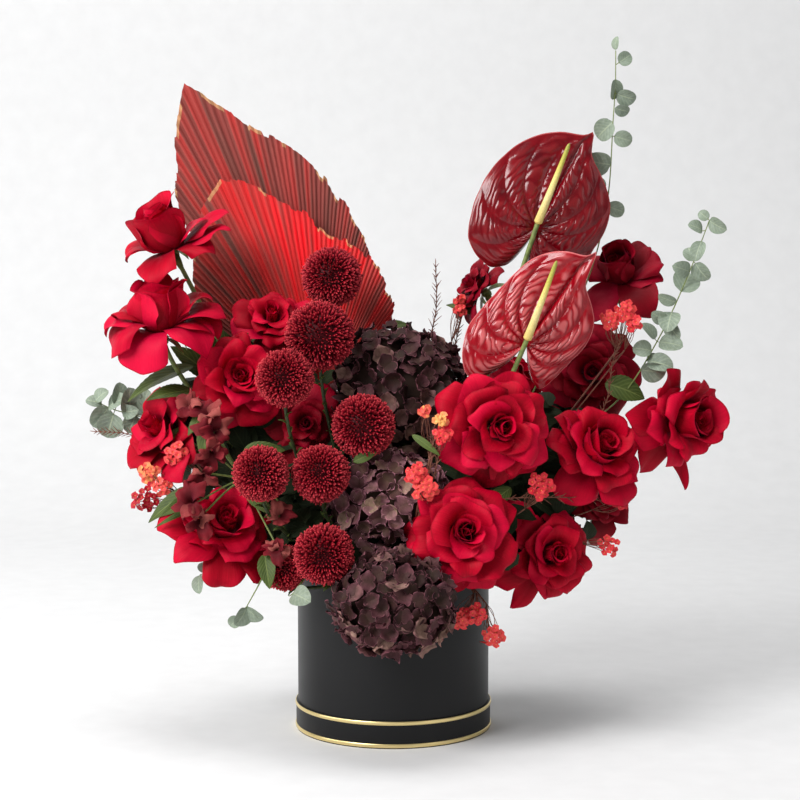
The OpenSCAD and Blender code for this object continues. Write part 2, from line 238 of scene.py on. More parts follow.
def petal(r, foot, length, half, slopes, cup=0.5, roll=0.0, wave=0.03, point=0.0, rows=16, cols=17):
    """A petal in its flower's frame, growing towards +X, in units of the flower's radius.

    roll is how far its two sides curl back, which leaves a pointed tip between them.
    """
    t, s = steps(rows, cols)
    line, face = line_of(slopes, foot, length, LINE_STEPS)
    skew = r.uniform(-0.12, 0.12)
    reach = 1 - 0.10 * np.abs(s) ** 3 - 1.3 * point * np.abs(s - skew) ** 1.05 + skew * s
    u = np.clip(t * reach, 0, 1)
    x = np.linspace(0, 1, LINE_STEPS)
    out, up = np.interp(u, x, line[:, 0]), np.interp(u, x, line[:, 1])
    n_out, n_up = np.interp(u, x, face[:, 0]), np.interp(u, x, face[:, 1])
    width = half * (0.22 + 0.78 * np.sin(np.clip(u * 0.62 + 0.02, 0, 1) * math.pi) ** 0.9)
    # The inner half of the width stays flat, and the rest rolls back around a radius.
    flat = 0.5 * width
    curl = 5.0 * roll * smooth(0.25, 0.9, t) * (1 + 4 * skew * np.sign(s)) + 0.05
    radius = 0.5 * width / curl
    turned = np.clip(np.abs(s) * width - flat, 0, None) / radius
    side = np.sign(s) * (np.minimum(np.abs(s) * width, flat) + radius * np.sin(turned))
    # The whole petal wraps around the flower's axis, closely with a cup of 1.
    bend = np.maximum(out, 0.16) / max(cup, 0.05)
    angle = np.clip(side / bend, -2.4, 2.4)
    rise = bend * (1 - np.cos(angle)) - radius * (1 - np.cos(turned))
    # Ripples that grow towards the edge, and a crease along the middle.
    phase = r.uniform(0, 6.28, 4)
    ripple = np.sin(3.1 * s + phase[0]) * t**3 + 0.6 * np.sin(6.5 * s + phase[1]) * t**4
    ripple = ripple + 0.5 * np.sin(5 * t + 2 * s + phase[2]) * t
    rise = rise + wave * ripple - 0.02 * np.exp(-((s - skew) ** 2) / 0.01) * t
    return np.stack([out + rise * n_out, bend * np.sin(angle) + 0 * t, up + rise * n_up], -1)


def clock_angle(turn, clock):
    """Angle about the rose's axis that points to a clock angle in the picture, or forward."""
    if clock == "front":
        v = np.array([0.0, -1.0, 0.0])
    else:
        c = math.radians(clock)
        v = np.array([math.sin(c), 0.0, math.cos(c)])
    local = turn.T @ v
    return math.degrees(math.atan2(local[1], local[0]))


# layer: number, first angle, foot (out, up), length, half width, slopes, cup, roll, point
HEART = [
    (3, 0, (0.02, -0.30), 0.66, 0.20, (86, 96, 104), 1.0, 0.0, 0.0),
    (3, 50, (0.06, -0.34), 0.76, 0.32, (80, 94, 96), 1.0, 0.01, 0.05),
    (4, 20, (0.10, -0.38), 0.84, 0.40, (72, 90, 88, 50), 0.95, 0.06, 0.10),
]
BOWL = [
    (4, 10, (0.13, -0.42), 0.93, 0.48, (58, 82, 72, 30, -30), 0.75, 0.14, 0.18),
    (5, 45, (0.15, -0.44), 0.98, 0.48, (42, 66, 52, 16, -60), 0.55, 0.19, 0.22),
    (5, 20, (0.17, -0.46), 1.02, 0.50, (24, 44, 30, 0, -70), 0.40, 0.22, 0.24),
]
RIM = [(6, 8, (0.17, -0.47), 1.08, 0.54, (10, 26, 14, -10, -70), 0.30, 0.22, 0.22)]
# A tall closed cup, for the roses seen from the side.
EGG = [
    (4, 15, (0.16, -0.43), 1.16, 0.70, (36, 78, 96, 104, 80), 0.80, 0.05, 0.12),
    (4, 60, (0.18, -0.45), 1.16, 0.74, (30, 70, 92, 92, 30), 0.70, 0.09, 0.14),
]
CUP = [
    (4, 15, (0.16, -0.43), 1.08, 0.66, (38, 80, 92, 72, 20), 0.80, 0.08, 0.14),
    (4, 60, (0.18, -0.45), 1.14, 0.68, (30, 72, 88, 50, -30), 0.68, 0.12, 0.16),
]


def rose(build, at, seed, layers, guards=()):
    """One rose head; guards are extra outer petals: clock, length, half width, slopes."""
    centre, radius, tilt, heading = at[:4]
    r = rng(seed)
    turn = facing(tilt, heading)
    start = r.uniform(0, 360)
    for k, (count, first, foot, length, half, slopes, cup, roll, point) in enumerate(layers):
        loose = 5 + 3.5 * k
        for i in range(count):
            angle = start + first + i * 360 / count + r.uniform(-loose, loose)
            grow = r.uniform(0.88, 1.08)
            lean = [a + r.uniform(-loose, loose) * 0.7 for a in slopes]
            p = petal(r, foot, length * grow, half * r.uniform(0.9, 1.15), lean, cup,
                      roll * r.uniform(0.3, 1.7), wave=0.012 + 0.009 * k,
                      point=point * r.uniform(0.3, 1.5))
            build.sheet(spin(p, angle) * radius @ turn.T + centre, 0.5, r.uniform(0.25, 0.75))
    for clock, length, half, slopes in guards:
        angle = clock_angle(turn, clock)
        lean = [a + r.uniform(-8, 8) for a in slopes]
        p = petal(r, (0.15, -0.42), length * r.uniform(0.97, 1.10), half, lean, 0.30,
                  r.uniform(0.06, 0.26), wave=0.045, point=r.uniform(0.12, 0.40), rows=20, cols=19)
        build.sheet(spin(p, angle) * radius @ turn.T + centre, 0.5, r.uniform(0.2, 0.8))


# Roses, as in the CAD: centre, radius, lean from upright, heading, where the stem leaves.
ROSES = {
    1: [(-235, -20, 517), 42, 35, 195, (-70, 20)],
    2: [(-235, -50, 438), 50, 35, 260, (-72, -5)],
    3: [(-126, 5, 430), 28, 50, 300, (-56, 38)],
    4: [(-155, -52, 370), 42, 75, 260, (-64, -26)],
    5: [(-240, -35, 317), 40, 70, 190, (-75, -15)],
    6: [(-168, -80, 226), 46, 50, 285, (-60, -40)],
    7: [(-89, -38, 322), 31, 80, 270, (-40, 0)],
    8: [(105, -110, 325), 54, 80, 280, (40, -50)],
    9: [(210, -50, 300), 48, 60, 300, (70, -25)],
    10: [(70, -135, 225), 52, 75, 275, (30, -65)],
    11: [(162, -60, 192), 46, 80, 290, (60, -45)],
    12: [(306, -20, 324), 48, 95, 325, (78, 0)],
    13: [(238, 50, 478), 38, 70, 265, (60, 30)],
    14: [(208, 20, 370), 42, 80, 270, (62, 14)],
    15: [(85, 60, 460), 26, 60, 200, (25, 40)],
    16: [(222, 15, 240), 30, 70, 300, (75, 20)],
}
BACK_ROSES = [
    [(-120, 110, 330), 45, 60, 130, (-45, 50)],
    [(10, 130, 270), 45, 65, 90, (5, 65)],
    [(130, 115, 350), 45, 60, 50, (45, 50)],
]
SKIRT = (5, 5, -15, -40, -85)
FLAT = (14, 20, 10, -10, -70)
OPEN = (24, 38, 26, 4, -60)
DROOP = (58, 34, -28, -66, -92)
# Outer petals of each rose: clock angle in the front view, length, half width, slopes.
GUARDS = {
    1: [(72, 1.30, 0.46, (10, 20, 20, 0, -40)), (100, 1.25, 0.50, (-5, 5, 10, 0, -50)),
        (200, 1.20, 0.62, (-20, -40, -40, -50)), (262, 1.1, 0.50, (40, 50, 20, -30, -90)),
        (225, 1.0, 0.56, (30, 40, 10, -60)), (165, 1.1, 0.60, SKIRT), (130, 1.05, 0.5, SKIRT),
        (85, 1.0, 0.5, OPEN), ("front", 1.05, 0.7, (36, 76, 94, 88, 20))],
    2: [(300, 1.15, 0.56, (60, 60, 36, -10, -70)), (255, 1.25, 0.56, (50, 36, 0, -40, -80)),
        (212, 1.38, 0.70, DROOP), (155, 1.34, 0.66, (46, 18, -32, -60, -80)),
        (82, 1.30, 0.56, (50, 44, 10, -20, -60)), (120, 1.25, 0.54, (50, 24, -10, -50, -80)),
        (184, 1.22, 0.66, (32, 0, -44, -72, -90)), (58, 1.2, 0.52, (60, 60, 40, 0, -60)),
        ("front", 1.20, 0.80, (30, 72, 94, 96, 40))],
    3: [(85, 1.55, 0.6, OPEN), (130, 1.5, 0.7, SKIRT), (230, 1.3, 0.7, OPEN),
        (280, 1.2, 0.6, OPEN), (180, 1.4, 0.7, SKIRT)],
    4: [(300, 1.15, 0.62, OPEN), (352, 1.15, 0.55, OPEN), (150, 1.15, 0.66, FLAT),
        (205, 1.15, 0.6, SKIRT), (95, 1.0, 0.6, OPEN), (250, 1.1, 0.6, FLAT)],
    5: [(185, 1.3, 0.6, FLAT), (140, 1.3, 0.6, FLAT), (20, 1.1, 0.6, FLAT),
        (230, 1.2, 0.55, OPEN), (270, 1.1, 0.6, SKIRT), (330, 1.1, 0.6, OPEN),
        ("front", 1.2, 0.6, FLAT)],
    6: [(262, 1.40, 0.52, FLAT), (225, 1.35, 0.52, FLAT), (185, 1.15, 0.55, SKIRT),
        (130, 1.30, 0.58, SKIRT), (92, 1.25, 0.52, FLAT), (300, 1.15, 0.5, OPEN),
        (30, 1.05, 0.5, OPEN)],
    7: [(200, 1.6, 0.8, FLAT), (120, 1.5, 0.8, FLAT), (280, 1.5, 0.8, FLAT), (30, 1.4, 0.8, FLAT)],
    8: [(292, 1.08, 0.56, FLAT), (338, 1.00, 0.56, OPEN), (20, 1.02, 0.56, FLAT),
        (68, 1.00, 0.58, FLAT), (112, 1.0, 0.54, FLAT), (152, 1.0, 0.56, SKIRT),
        (196, 0.96, 0.60, SKIRT), (242, 1.02, 0.56, FLAT)],
    9: [(352, 0.95, 0.45, OPEN), (50, 0.95, 0.5, OPEN), (105, 1.1, 0.5, FLAT),
        (155, 1.2, 0.55, FLAT), (212, 1.25, 0.62, SKIRT), (262, 1.15, 0.55, OPEN),
        (305, 1.1, 0.5, OPEN)],
    10: [(318, 1.12, 0.50, FLAT), (8, 1.0, 0.52, FLAT), (62, 1.05, 0.48, FLAT),
         (110, 1.0, 0.46, FLAT), (152, 1.0, 0.48, SKIRT), (188, 1.20, 0.42, SKIRT),
         (235, 1.05, 0.48, FLAT), (272, 1.12, 0.46, SKIRT)],
    11: [(322, 1.40, 0.40, FLAT), (25, 1.0, 0.55, FLAT), (72, 1.0, 0.6, FLAT),
         (140, 1.05, 0.6, SKIRT), (176, 1.05, 0.55, SKIRT), (212, 1.38, 0.34, SKIRT),
         (246, 1.42, 0.42, SKIRT), (105, 1.0, 0.55, SKIRT)],
    12: [(275, 1.15, 0.50, (10, 0, -20, -30)), (322, 1.1, 0.42, (20, 30, 30, 10)),
         (215, 1.15, 0.46, (-10, -20, -30, -20)), (172, 1.35, 0.34, (-10, 0, 5, 0)),
         ("front", 1.05, 0.5, SKIRT), (350, 1.1, 0.5, (40, 60, 60, 30))],
    13: [(80, 1.15, 0.6, OPEN), (35, 1.1, 0.55, OPEN), (150, 1.5, 0.65, SKIRT),
         (205, 1.5, 0.65, SKIRT), (115, 1.1, 0.5, FLAT), (300, 1.1, 0.6, OPEN)],
    14: [(90, 1.3, 0.7, FLAT), (150, 1.3, 0.7, SKIRT), (230, 1.3, 0.7, SKIRT), (0, 1.2, 0.7, FLAT),
         (45, 1.3, 0.6, FLAT), (300, 1.2, 0.6, FLAT)],
    15: [(200, 1.5, 0.7, SKIRT), (250, 1.5, 0.6, FLAT), (100, 1.4, 0.6, FLAT), (320, 1.4, 0.5, OPEN)],
    16: [(180, 1.7, 0.6, SKIRT), (120, 1.4, 0.6, FLAT), (250, 1.4, 0.6, FLAT)],
}
# Head sizes and layers that differ from the common ones.
GROW = {1: 1.12, 3: 1.25, 5: 1.08, 12: 1.04}
TALL = HEART + CUP[:1] + BOWL[1:]
LAYERS = {1: HEART + EGG, 2: HEART + EGG, 4: TALL, 6: TALL, 9: TALL, 12: TALL, 13: HEART + EGG}
# Lean and heading of the heads whose petals open another way than their plain shapes do.
LOOKS = {
    1: (30, 215), 2: (16, 255), 3: (50, 275), 4: (70, 280), 5: (66, 225), 12: (85, 308),
    13: (45, 250),
}


# ---- materials ----


class Shader:
    """A procedural material on one Principled shader."""

    def __init__(self, name, rough=0.5, specular=0.5, **sockets):
        self.material = bpy.data.materials.new(name)
        self.material.use_nodes = True
        self.tree = self.material.node_tree
        self.tree.nodes.clear()
        self.main = self.add("ShaderNodeBsdfPrincipled")
        output = self.add("ShaderNodeOutputMaterial")
        self.tree.links.new(self.main.outputs[0], output.inputs[0])
        self.set("Roughness", rough)
        self.set("Specular IOR Level", specular)
        for key, value in sockets.items():
            self.set(key.replace("_", " ").title(), value)

    def add(self, kind, **fields):
        node = self.tree.nodes.new(kind)
        for key, value in fields.items():
            setattr(node, key, value)
        return node

    def link(self, value, socket):
        if isinstance(value, bpy.types.NodeSocket):
            self.tree.links.new(value, socket)
        else:
            socket.default_value = value

    def set(self, socket, value):
        self.link(value, self.main.inputs[socket])

    def values(self, *labels):
        """The values that each point of a piece carries."""
        nodes = [self.add("ShaderNodeAttribute", attribute_name=label) for label in labels]
        return [node.outputs["Fac"] for node in nodes]

    def joined(self, kind, inputs, **fields):
        node = self.add(kind, **fields)
        for k, v in enumerate(inputs):
            self.link(v, node.inputs[k])
        return node.outputs[0]

    def vector(self, *xyz):
        return self.joined("ShaderNodeCombineXYZ", xyz)

    def math(self, how, a, b=0.0, c=0.0):
        return self.joined("ShaderNodeMath", (a, b, c), operation=how)

    def times(self, a, b):
        return self.math("MULTIPLY", a, b)

    def above(self, value, limit):
        return self.math("GREATER_THAN", value, limit)

    def from_middle(self, across):
        return self.math("ABSOLUTE", self.math("SUBTRACT", across, 0.5))

    def scaled(self, value, low, high):
        """A value from 0 to 1 laid onto low to high."""
        return self.math("MULTIPLY_ADD", value, high - low, low)

    def texture(self, kind, where, output, **inputs):
        node = self.add(kind)
        for key, value in inputs.items():
            node.inputs[key].default_value = value
        where = where or self.add("ShaderNodeTexCoord").outputs["Object"]
        self.link(where, node.inputs["Vector"])
        return node.outputs[output]

    def noise(self, scale, detail, where=None):
        return self.texture("ShaderNodeTexNoise", where, "Fac", Scale=scale, Detail=detail)

    def cells(self, scale):
        return self.texture("ShaderNodeTexVoronoi", None, "Distance", Scale=scale)

    def streaks(self, detail, *place):
        """Noise at a place given by three values, such as those of a piece's points."""
        return self.noise(1.0, detail, self.vector(*place))

    def ramp(self, factor, *stops):
        """Colours laid along 0 to 1."""
        node = self.add("ShaderNodeValToRGB")
        elements = node.color_ramp.elements
        while len(elements) < len(stops):
            elements.new(0.5)
        for element, (place, colour) in zip(elements, stops):
            element.position = place
            element.color = (*colour, 1)
        self.link(factor, node.inputs[0])
        return node.outputs[0]

    def mix(self, factor, a, b):
        """Goes from colour a to colour b as the factor goes from 0 to 1."""
        node = self.add("ShaderNodeMix", data_type="RGBA")
        self.link(factor, node.inputs[0])
        first_colour, second_colour = 6, 7
        for k, v in ((first_colour, a), (second_colour, b)):
            self.link((*v, 1) if isinstance(v, tuple) else v, node.inputs[k])
        return node.outputs[2]

    def done(self, colour, height, depth, strength):
        """Sets the colour and the relief, depth metres deep, and gives the material."""
        self.set("Base Color", colour)
        node = self.add("ShaderNodeBump")
        node.inputs["Strength"].default_value = strength
        node.inputs["Distance"].default_value = depth
        self.link(height, node.inputs["Height"])
        self.set("Normal", node.outputs[0])
        return self.material


def dim(colour, share):
    """A colour at a share of its strength."""
    return tuple(share * c for c in colour)


def petal_material(name, deep, main, bright, pink, rough=0.55, velvet=0.12):
    """Velvety skin, some petals pinker than others; deep at the foot as painted shade in the crevices
    between the petals, and bright at the edge as painted light.
    """
    s = Shader(name, rough, 0.10, sheen_weight=velvet, sheen_roughness=0.35)
    s.set("Sheen Tint", (1.0, 0.10, 0.28, 1))
    across, along, tone = s.values("across", "along", "tone")
    veins = s.streaks(3, s.times(across, 46), s.times(along, 3.5), s.times(tone, 30))
    # Painted shade and light along the petal: near black at the foot, where the petals shade each
    # other, and bright towards the edge.
    body = s.ramp(along, (0.0, dim(deep, 0.4)), (0.45, deep), (0.75, main), (0.97, bright))
    body = s.mix(s.scaled(s.noise(60, 2), -0.3, 0.9), body, dim(main, 0.62))
    body = s.mix(s.scaled(veins, -0.25, 0.75), body, dim(main, 0.50))
    body = s.mix(s.scaled(tone, -0.7, 0.75), body, pink)
    body = s.mix(s.scaled(tone, 0.45, -0.5), body, deep)
    rim = s.above(along, 0.975)
    body = s.mix(s.times(rim, 0.45), body, deep)
    return s.done(body, veins, 0.0006, 0.5)


def card_material():
    """Black card."""
    s = Shader("black_card", 0.5, 0.28)
    fine, wide = s.noise(900, 4), s.noise(14, 2)
    s.set("Roughness", s.scaled(wide, 0.36, 0.48))
    return s.done(s.mix(fine, (0.002, 0.002, 0.0025), (0.005, 0.005, 0.0055)), fine, 0.00008, 0.5)


def gold_material():
    s = Shader("gold_ribbon", 0.3, 0.5, metallic=0.9)
    where = s.add("ShaderNodeMapping")
    where.inputs["Scale"].default_value = (30, 30, 1600)
    s.tree.links.new(s.add("ShaderNodeTexCoord").outputs["Object"], where.inputs["Vector"])
    threads = s.noise(1.0, 2, where.outputs[0])
    s.set("Roughness", s.scaled(threads, 0.22, 0.42))
    return s.done(s.mix(threads, (0.78, 0.58, 0.21), (0.93, 0.79, 0.43)), threads, 0.0001, 0.5)


def plain_material(name, dark, light, rough, scale, depth, specular=0.4, **sockets):
    """A material of two shades with a grain at the given scale."""
    s = Shader(name, rough, specular, **sockets)
    grain = s.noise(scale, 4)
    return s.done(s.mix(s.scaled(grain, -0.4, 1.4), dark, light), grain, depth, 0.6)


def leaf_material(name, dark, light, vein, rough=0.45, ribs=9, bloom=0.0, specular=0.35):
    s = Shader(name, rough, specular)
    across, along, tone = s.values("across", "along", "tone")
    from_mid = s.from_middle(across)
    slant = s.math("SUBTRACT", s.times(along, ribs), s.times(from_mid, ribs * 0.7))
    rib = s.math("POWER", s.math("ABSOLUTE", s.math("SINE", s.times(slant, math.pi))), 8)
    mid = s.math("LESS_THAN", from_mid, 0.03)
    patches = s.noise(90, 3)
    body = s.mix(s.scaled(patches, -0.3, 1.3), dark, light)
    body = s.mix(s.scaled(tone, -0.2, 0.7), body, light)
    body = s.mix(s.times(rib, 0.35), body, vein)
    body = s.mix(s.times(mid, 0.8), body, vein)
    if bloom:
        body = s.mix(s.scaled(s.noise(300, 3), 0, bloom), body, (0.62, 0.70, 0.64))
    return s.done(body, s.math("ADD", rib, patches), 0.0003, 0.5)


def pompon_material():
    s = Shader("pompon_petal", 0.55, 0.15)
    along, tone = s.values("along", "tone")
    # Near black at the petals' foot as painted shade in the gaps between them, lighter towards the
    # tips.
    body = s.ramp(along, (0.0, (0.018, 0.0, 0.002)), (0.45, (0.13, 0.001, 0.008)),
                  (0.8, (0.32, 0.004, 0.016)), (1.0, (0.74, 0.066, 0.078)))
    body = s.mix(s.scaled(tone, -0.2, 0.6), body, (0.10, 0.0, 0.004))
    return s.done(body, s.noise(900, 2), 0.0002, 0.4)


def sepal_material(name, stops, green):
    """Mottled skin, green towards its foot and pale at its rim, with fine veins."""
    s = Shader(name, 0.6, 0.12)
    across, along, tone = s.values("across", "along", "tone")
    body = s.ramp(tone, *stops)
    patches = s.noise(120, 3)
    body = s.mix(s.scaled(patches, -0.5, 1.1), body, dim(stops[0][1], 0.35))
    middle = s.math("SUBTRACT", 1.0, along)
    body = s.mix(s.times(middle, 0.35), body, green)
    from_mid = s.from_middle(across)
    rim = s.math("MAXIMUM", s.above(from_mid, 0.46), s.above(along, 0.94))
    body = s.mix(s.times(rim, 0.5), body, dim(stops[2][1], 2.0))
    veins = s.streaks(2, s.times(across, 14), s.times(along, 3), s.times(tone, 40))
    body = s.mix(s.scaled(veins, -0.1, 0.5), body, dim(stops[1][1], 0.4))
    return s.done(body, veins, 0.0005, 0.6)


def spathe_material(name, deep, main, pale, patches):
    """Waxy skin; patches is how pale the raised cells between the veins are painted, a painted
    highlight of the glare off their tops.
    """
    s = Shader(name, 0.25, 0.38)
    along, tone = s.values("along", "tone")
    body = s.mix(s.scaled(s.noise(60, 3), -0.4, 1.3), deep, main)
    body = s.mix(s.times(tone, patches), body, pale)
    # A pale rim: a painted highlight along the leaf's upturned edge.
    rim = s.above(along, 0.985)
    body = s.mix(s.times(rim, 0.6), body, pale)
    s.set("Roughness", s.scaled(s.noise(140, 2), 0.12, 0.24))
    return s.done(body, s.noise(90, 1), 0.0004, 0.5)


def palm_material():
    s = Shader("dried_palm", 0.6, 0.12)
    across, along, tone = s.values("across", "along", "tone")
    fibre = s.streaks(4, s.times(across, 420), s.times(along, 5), 0.0)
    streak = s.streaks(2, s.times(across, 38), s.times(along, 1.3), 3.0)
    body = s.ramp(tone, (0.0, (0.10, 0.030, 0.026)), (0.35, (0.34, 0.066, 0.056)),
                  (0.62, (0.58, 0.046, 0.042)), (1.0, (1.0, 0.012, 0.022)))
    body = s.mix(s.scaled(streak, -1.1, 1.3), body, (0.36, 0.10, 0.085))
    smoke = s.streaks(2, s.times(across, 16), s.times(along, 2.0), 9.0)
    grey = s.times(s.scaled(smoke, -1.5, 2.1), s.math("SUBTRACT", 1.0, tone))
    body = s.mix(grey, body, (0.16, 0.070, 0.055))
    body = s.mix(s.scaled(fibre, -0.25, 0.55), body, (0.07, 0.012, 0.010))
    frayed = s.above(s.streaks(1, s.times(across, 11), 0.0, 7.0), 0.51)
    tips = s.times(s.above(along, 0.982), frayed)
    body = s.mix(s.times(tips, 0.7), body, (0.60, 0.34, 0.16))
    return s.done(body, fibre, 0.0006, 0.6)


def coral_material():
    s = Shader("coral_petal", 0.5, 0.3)
    along, tone = s.values("along", "tone")
    body = s.ramp(tone, (0.0, (0.30, 0.004, 0.014)), (0.45, (0.68, 0.020, 0.036)),
                  (0.8, (0.82, 0.085, 0.070)), (1.0, (0.92, 0.42, 0.12)))
    body = s.mix(s.ramp(along, (0.0, (0.9, 0.9, 0.9)), (0.25, (0, 0, 0))), body, (0.85, 0.45, 0.12))
    return s.done(body, s.noise(800, 2), 0.0002, 0.4)


def spadix_material():
    s = Shader("spadix", 0.5, 0.35)
    (along,) = s.values("along")
    body = s.ramp(along, (0.0, (0.72, 0.56, 0.16)), (0.35, (0.85, 0.72, 0.34)),
                  (0.60, (0.78, 0.66, 0.20)), (0.74, (0.50, 0.48, 0.06)), (1.0, (0.22, 0.27, 0.03)))
    cells = s.cells(520)
    return s.done(s.mix(s.scaled(cells, 0.0, 0.5), body, (0.55, 0.42, 0.12)), cells, 0.0004, 0.7)


MATERIALS = {
    "card": card_material(),
    "gold": gold_material(),
    "liner": plain_material("liner_plastic", (0.60, 0.66, 0.66), (0.72, 0.78, 0.78), 0.25, 60,
                            0.0001, transmission_weight=0.55),
    "foam": plain_material("floral_foam", (0.02, 0.05, 0.02), (0.06, 0.13, 0.06), 0.95, 900, 0.0008,
                           specular=0.1),
    "rose": petal_material("rose_petal", (0.20, 0.0, 0.005), (0.50, 0.0, 0.016),
                           (0.64, 0.0, 0.026), (0.82, 0.003, 0.060)),
    # A darker copy of the rose colours: painted shade on the roses that lie behind other flowers.
    "rose_painted_shade": petal_material("rose_petal_shaded", (0.08, 0.0, 0.003), (0.24, 0.0, 0.008),
                                (0.34, 0.0, 0.015), (0.42, 0.002, 0.030)),
    "pompon": pompon_material(),
    "plum": sepal_material("hydrangea_dark",
                           [(0.0, (0.024, 0.008, 0.011)), (0.35, (0.065, 0.020, 0.026)),
                            (0.6, (0.17, 0.058, 0.074)), (1.0, (0.52, 0.31, 0.24))],
                           (0.06, 0.05, 0.022)),
    "mauve": sepal_material("hydrangea_mauve",
                            [(0.0, (0.050, 0.016, 0.022)), (0.3, (0.16, 0.050, 0.070)),
                             (0.6, (0.42, 0.17, 0.22)), (1.0, (0.46, 0.36, 0.20))],
                            (0.20, 0.15, 0.07)),
    # The second spathe's brighter copy of the colours and its paler cells are partly its own colour
    # and partly painted light, as it faces the lamps more.
    "spathe_1": spathe_material("spathe_deep", (0.08, 0.0, 0.003), (0.21, 0.001, 0.005),
                                (0.42, 0.06, 0.06), 0.15),
    "spathe_2": spathe_material("spathe_bright", (0.20, 0.001, 0.006), (0.38, 0.002, 0.010),
                                (0.74, 0.20, 0.20), 0.5),
    "spadix": spadix_material(),
    "palm": palm_material(),
    "eucalyptus": leaf_material("eucalyptus", (0.055, 0.085, 0.050), (0.17, 0.22, 0.14),
                                (0.28, 0.33, 0.20), 0.55, 6, bloom=0.35),
    "green": leaf_material("green_leaf", (0.022, 0.042, 0.008), (0.080, 0.115, 0.024),
                           (0.15, 0.19, 0.05), 0.5, 8, specular=0.2),
    # A near-black copy of the leaf colours: painted shade for the leaves in the gaps between the
    # flowers.
    "shade": leaf_material("shaded_leaf", (0.005, 0.009, 0.004), (0.018, 0.026, 0.010),
                           (0.026, 0.034, 0.014), 0.7, 8, specular=0.12),
    "stem": plain_material("green_stem", (0.08, 0.12, 0.028), (0.24, 0.29, 0.08), 0.45, 220, 0.0003),
    "dark_stem": plain_material("pompon_stem", (0.012, 0.022, 0.006), (0.045, 0.065, 0.018), 0.5, 220,
                                0.0003),
    "palm_stem": plain_material("palm_stem", (0.10, 0.03, 0.02), (0.30, 0.08, 0.05), 0.6, 300, 0.0003),
    "coral": coral_material(),
    "twig": plain_material("heath_twig", (0.10, 0.025, 0.018), (0.24, 0.09, 0.05), 0.7, 400, 0.0003),
    "floret": petal_material("wine_floret", (0.06, 0.006, 0.008), (0.20, 0.008, 0.016),
                             (0.32, 0.03, 0.035), (0.40, 0.11, 0.09), 0.6, 0.15),
}


# ---- roses ----

# Roses in the shade of the flowers before them.
HIDDEN = {7, 13, 14, 15, 16}


def make_roses():
    """One piece of petals for each rose in front, and one for those at the back."""
    for number, at in ROSES.items():
        build = Build()
        centre, radius, tilt, heading = at[:4]
        head = (centre, radius * GROW.get(number, 1.0), *LOOKS.get(number, (tilt, heading)))
        rose(build, head, 100 + number, LAYERS.get(number, HEART + BOWL), GUARDS[number])
        material = MATERIALS["rose_painted_shade" if number in HIDDEN else "rose"]
        build.piece(f"petals_{number}", material, [f"rose_{number}"], "rose_petal")
    build = Build()
    for k, at in enumerate(BACK_ROSES):
        rose(build, at, 150 + k, HEART + BOWL + RIM)
    build.piece("petals_back", MATERIALS["rose"], ["roses_back"], "rose_petal")


def root(collar, depth=15):
    """Where a stem starts inside the foam."""
    return np.array([*collar, COLLAR_Z - depth])


def stem_path(at, look, n=24):
    """A stem from inside the foam that bends into the back of a rose."""
    centre, radius, tilt, heading, collar = at
    axis = facing(*(look or (tilt, heading))) @ UP
    start, end = root(collar), centre - axis * radius * 0.58
    gap = np.linalg.norm(end - start)
    return bezier(start, start + unit(end - start) * gap * 0.4 + UP * gap * 0.05,
                  end - axis * min(gap * 0.25, 45), end, n)


def blade(length, half, slopes, fold=0.2, shape=0.8, power=0.9, jag=0.0, cup=0.0, rows=13, cols=7,
          twist=0.0):
    """A leaf growing towards +X with its face to +Z; jag gives it a toothed edge."""
    t, s = steps(rows, cols)
    line, face = line_of(slopes, (0, 0), length, rows)
    width = half * np.sin(math.pi * np.clip(t, 0, 1) ** shape) ** power
    width = width + jag * half * ((np.arange(rows) % 2) - 0.5)[:, None] * np.sin(math.pi * t)
    side = s * width
    rise = fold * np.abs(side) + cup * side**2 / max(half, 1)
    a = np.radians(twist * t)
    up = rise * np.cos(a) + side * np.sin(a)
    side = side * np.cos(a) - rise * np.sin(a)
    return np.stack([line[:, :1] + up * face[:, :1], side + 0 * t, line[:, 1:] + up * face[:, 1:]], -1)


def put(build, p, at, ahead, face, thick=0.5, tone=0.5):
    """Adds a leaf at a point, growing ahead, with its upper face turned to face."""
    build.sheet(p @ aim(face, ahead).T + at, thick, tone)


def make_calyxes():
    """Hips and pointed sepals behind the roses."""
    build = Build()
    for k, at in [*ROSES.items(), *((20 + i, a) for i, a in enumerate(BACK_ROSES))]:
        centre, radius, tilt, heading = at[:4]
        tilt, heading = LOOKS.get(k, (tilt, heading))
        turn = facing(tilt, heading)
        axis = turn @ UP
        foot = centre - axis * radius * 0.52
        path = [foot + axis * d for d in (-10, -8, -4, -1, 1)]
        build.tube(path, [2.6, 4.4, 5.4, 4.8, 2.0], 12, 0.5)
        r = rng(300 + k)
        for i in range(5):
            leaf = blade(r.uniform(24, 32), 4.0, (-10, -40, -60 - 30 * r.random()), 0.1, 0.6, 0.8)
            leaf[..., 0] += 4
            leaf = spin(leaf, 72 * i + r.uniform(-9, 9)) @ turn.T + foot - axis * 3
            build.sheet(leaf, 0.5, r.random(), 0.5, 0.5)
    build.piece("rose_calyxes", MATERIALS["stem"], slot="green_leaf")


def make_stems():
    """Rose stalks from the foam to the heads."""
    build = Build()
    for number, at in [*ROSES.items(), *((0, at) for at in BACK_ROSES)]:
        path = stem_path(at, LOOKS.get(number))
        build.tube(path, np.linspace(2.7, 2.3, len(path)), 10)
    build.piece("rose_stalks", MATERIALS["stem"], ["rose_stems"], "green_leaf")


# ---- pompon chrysanthemums ----

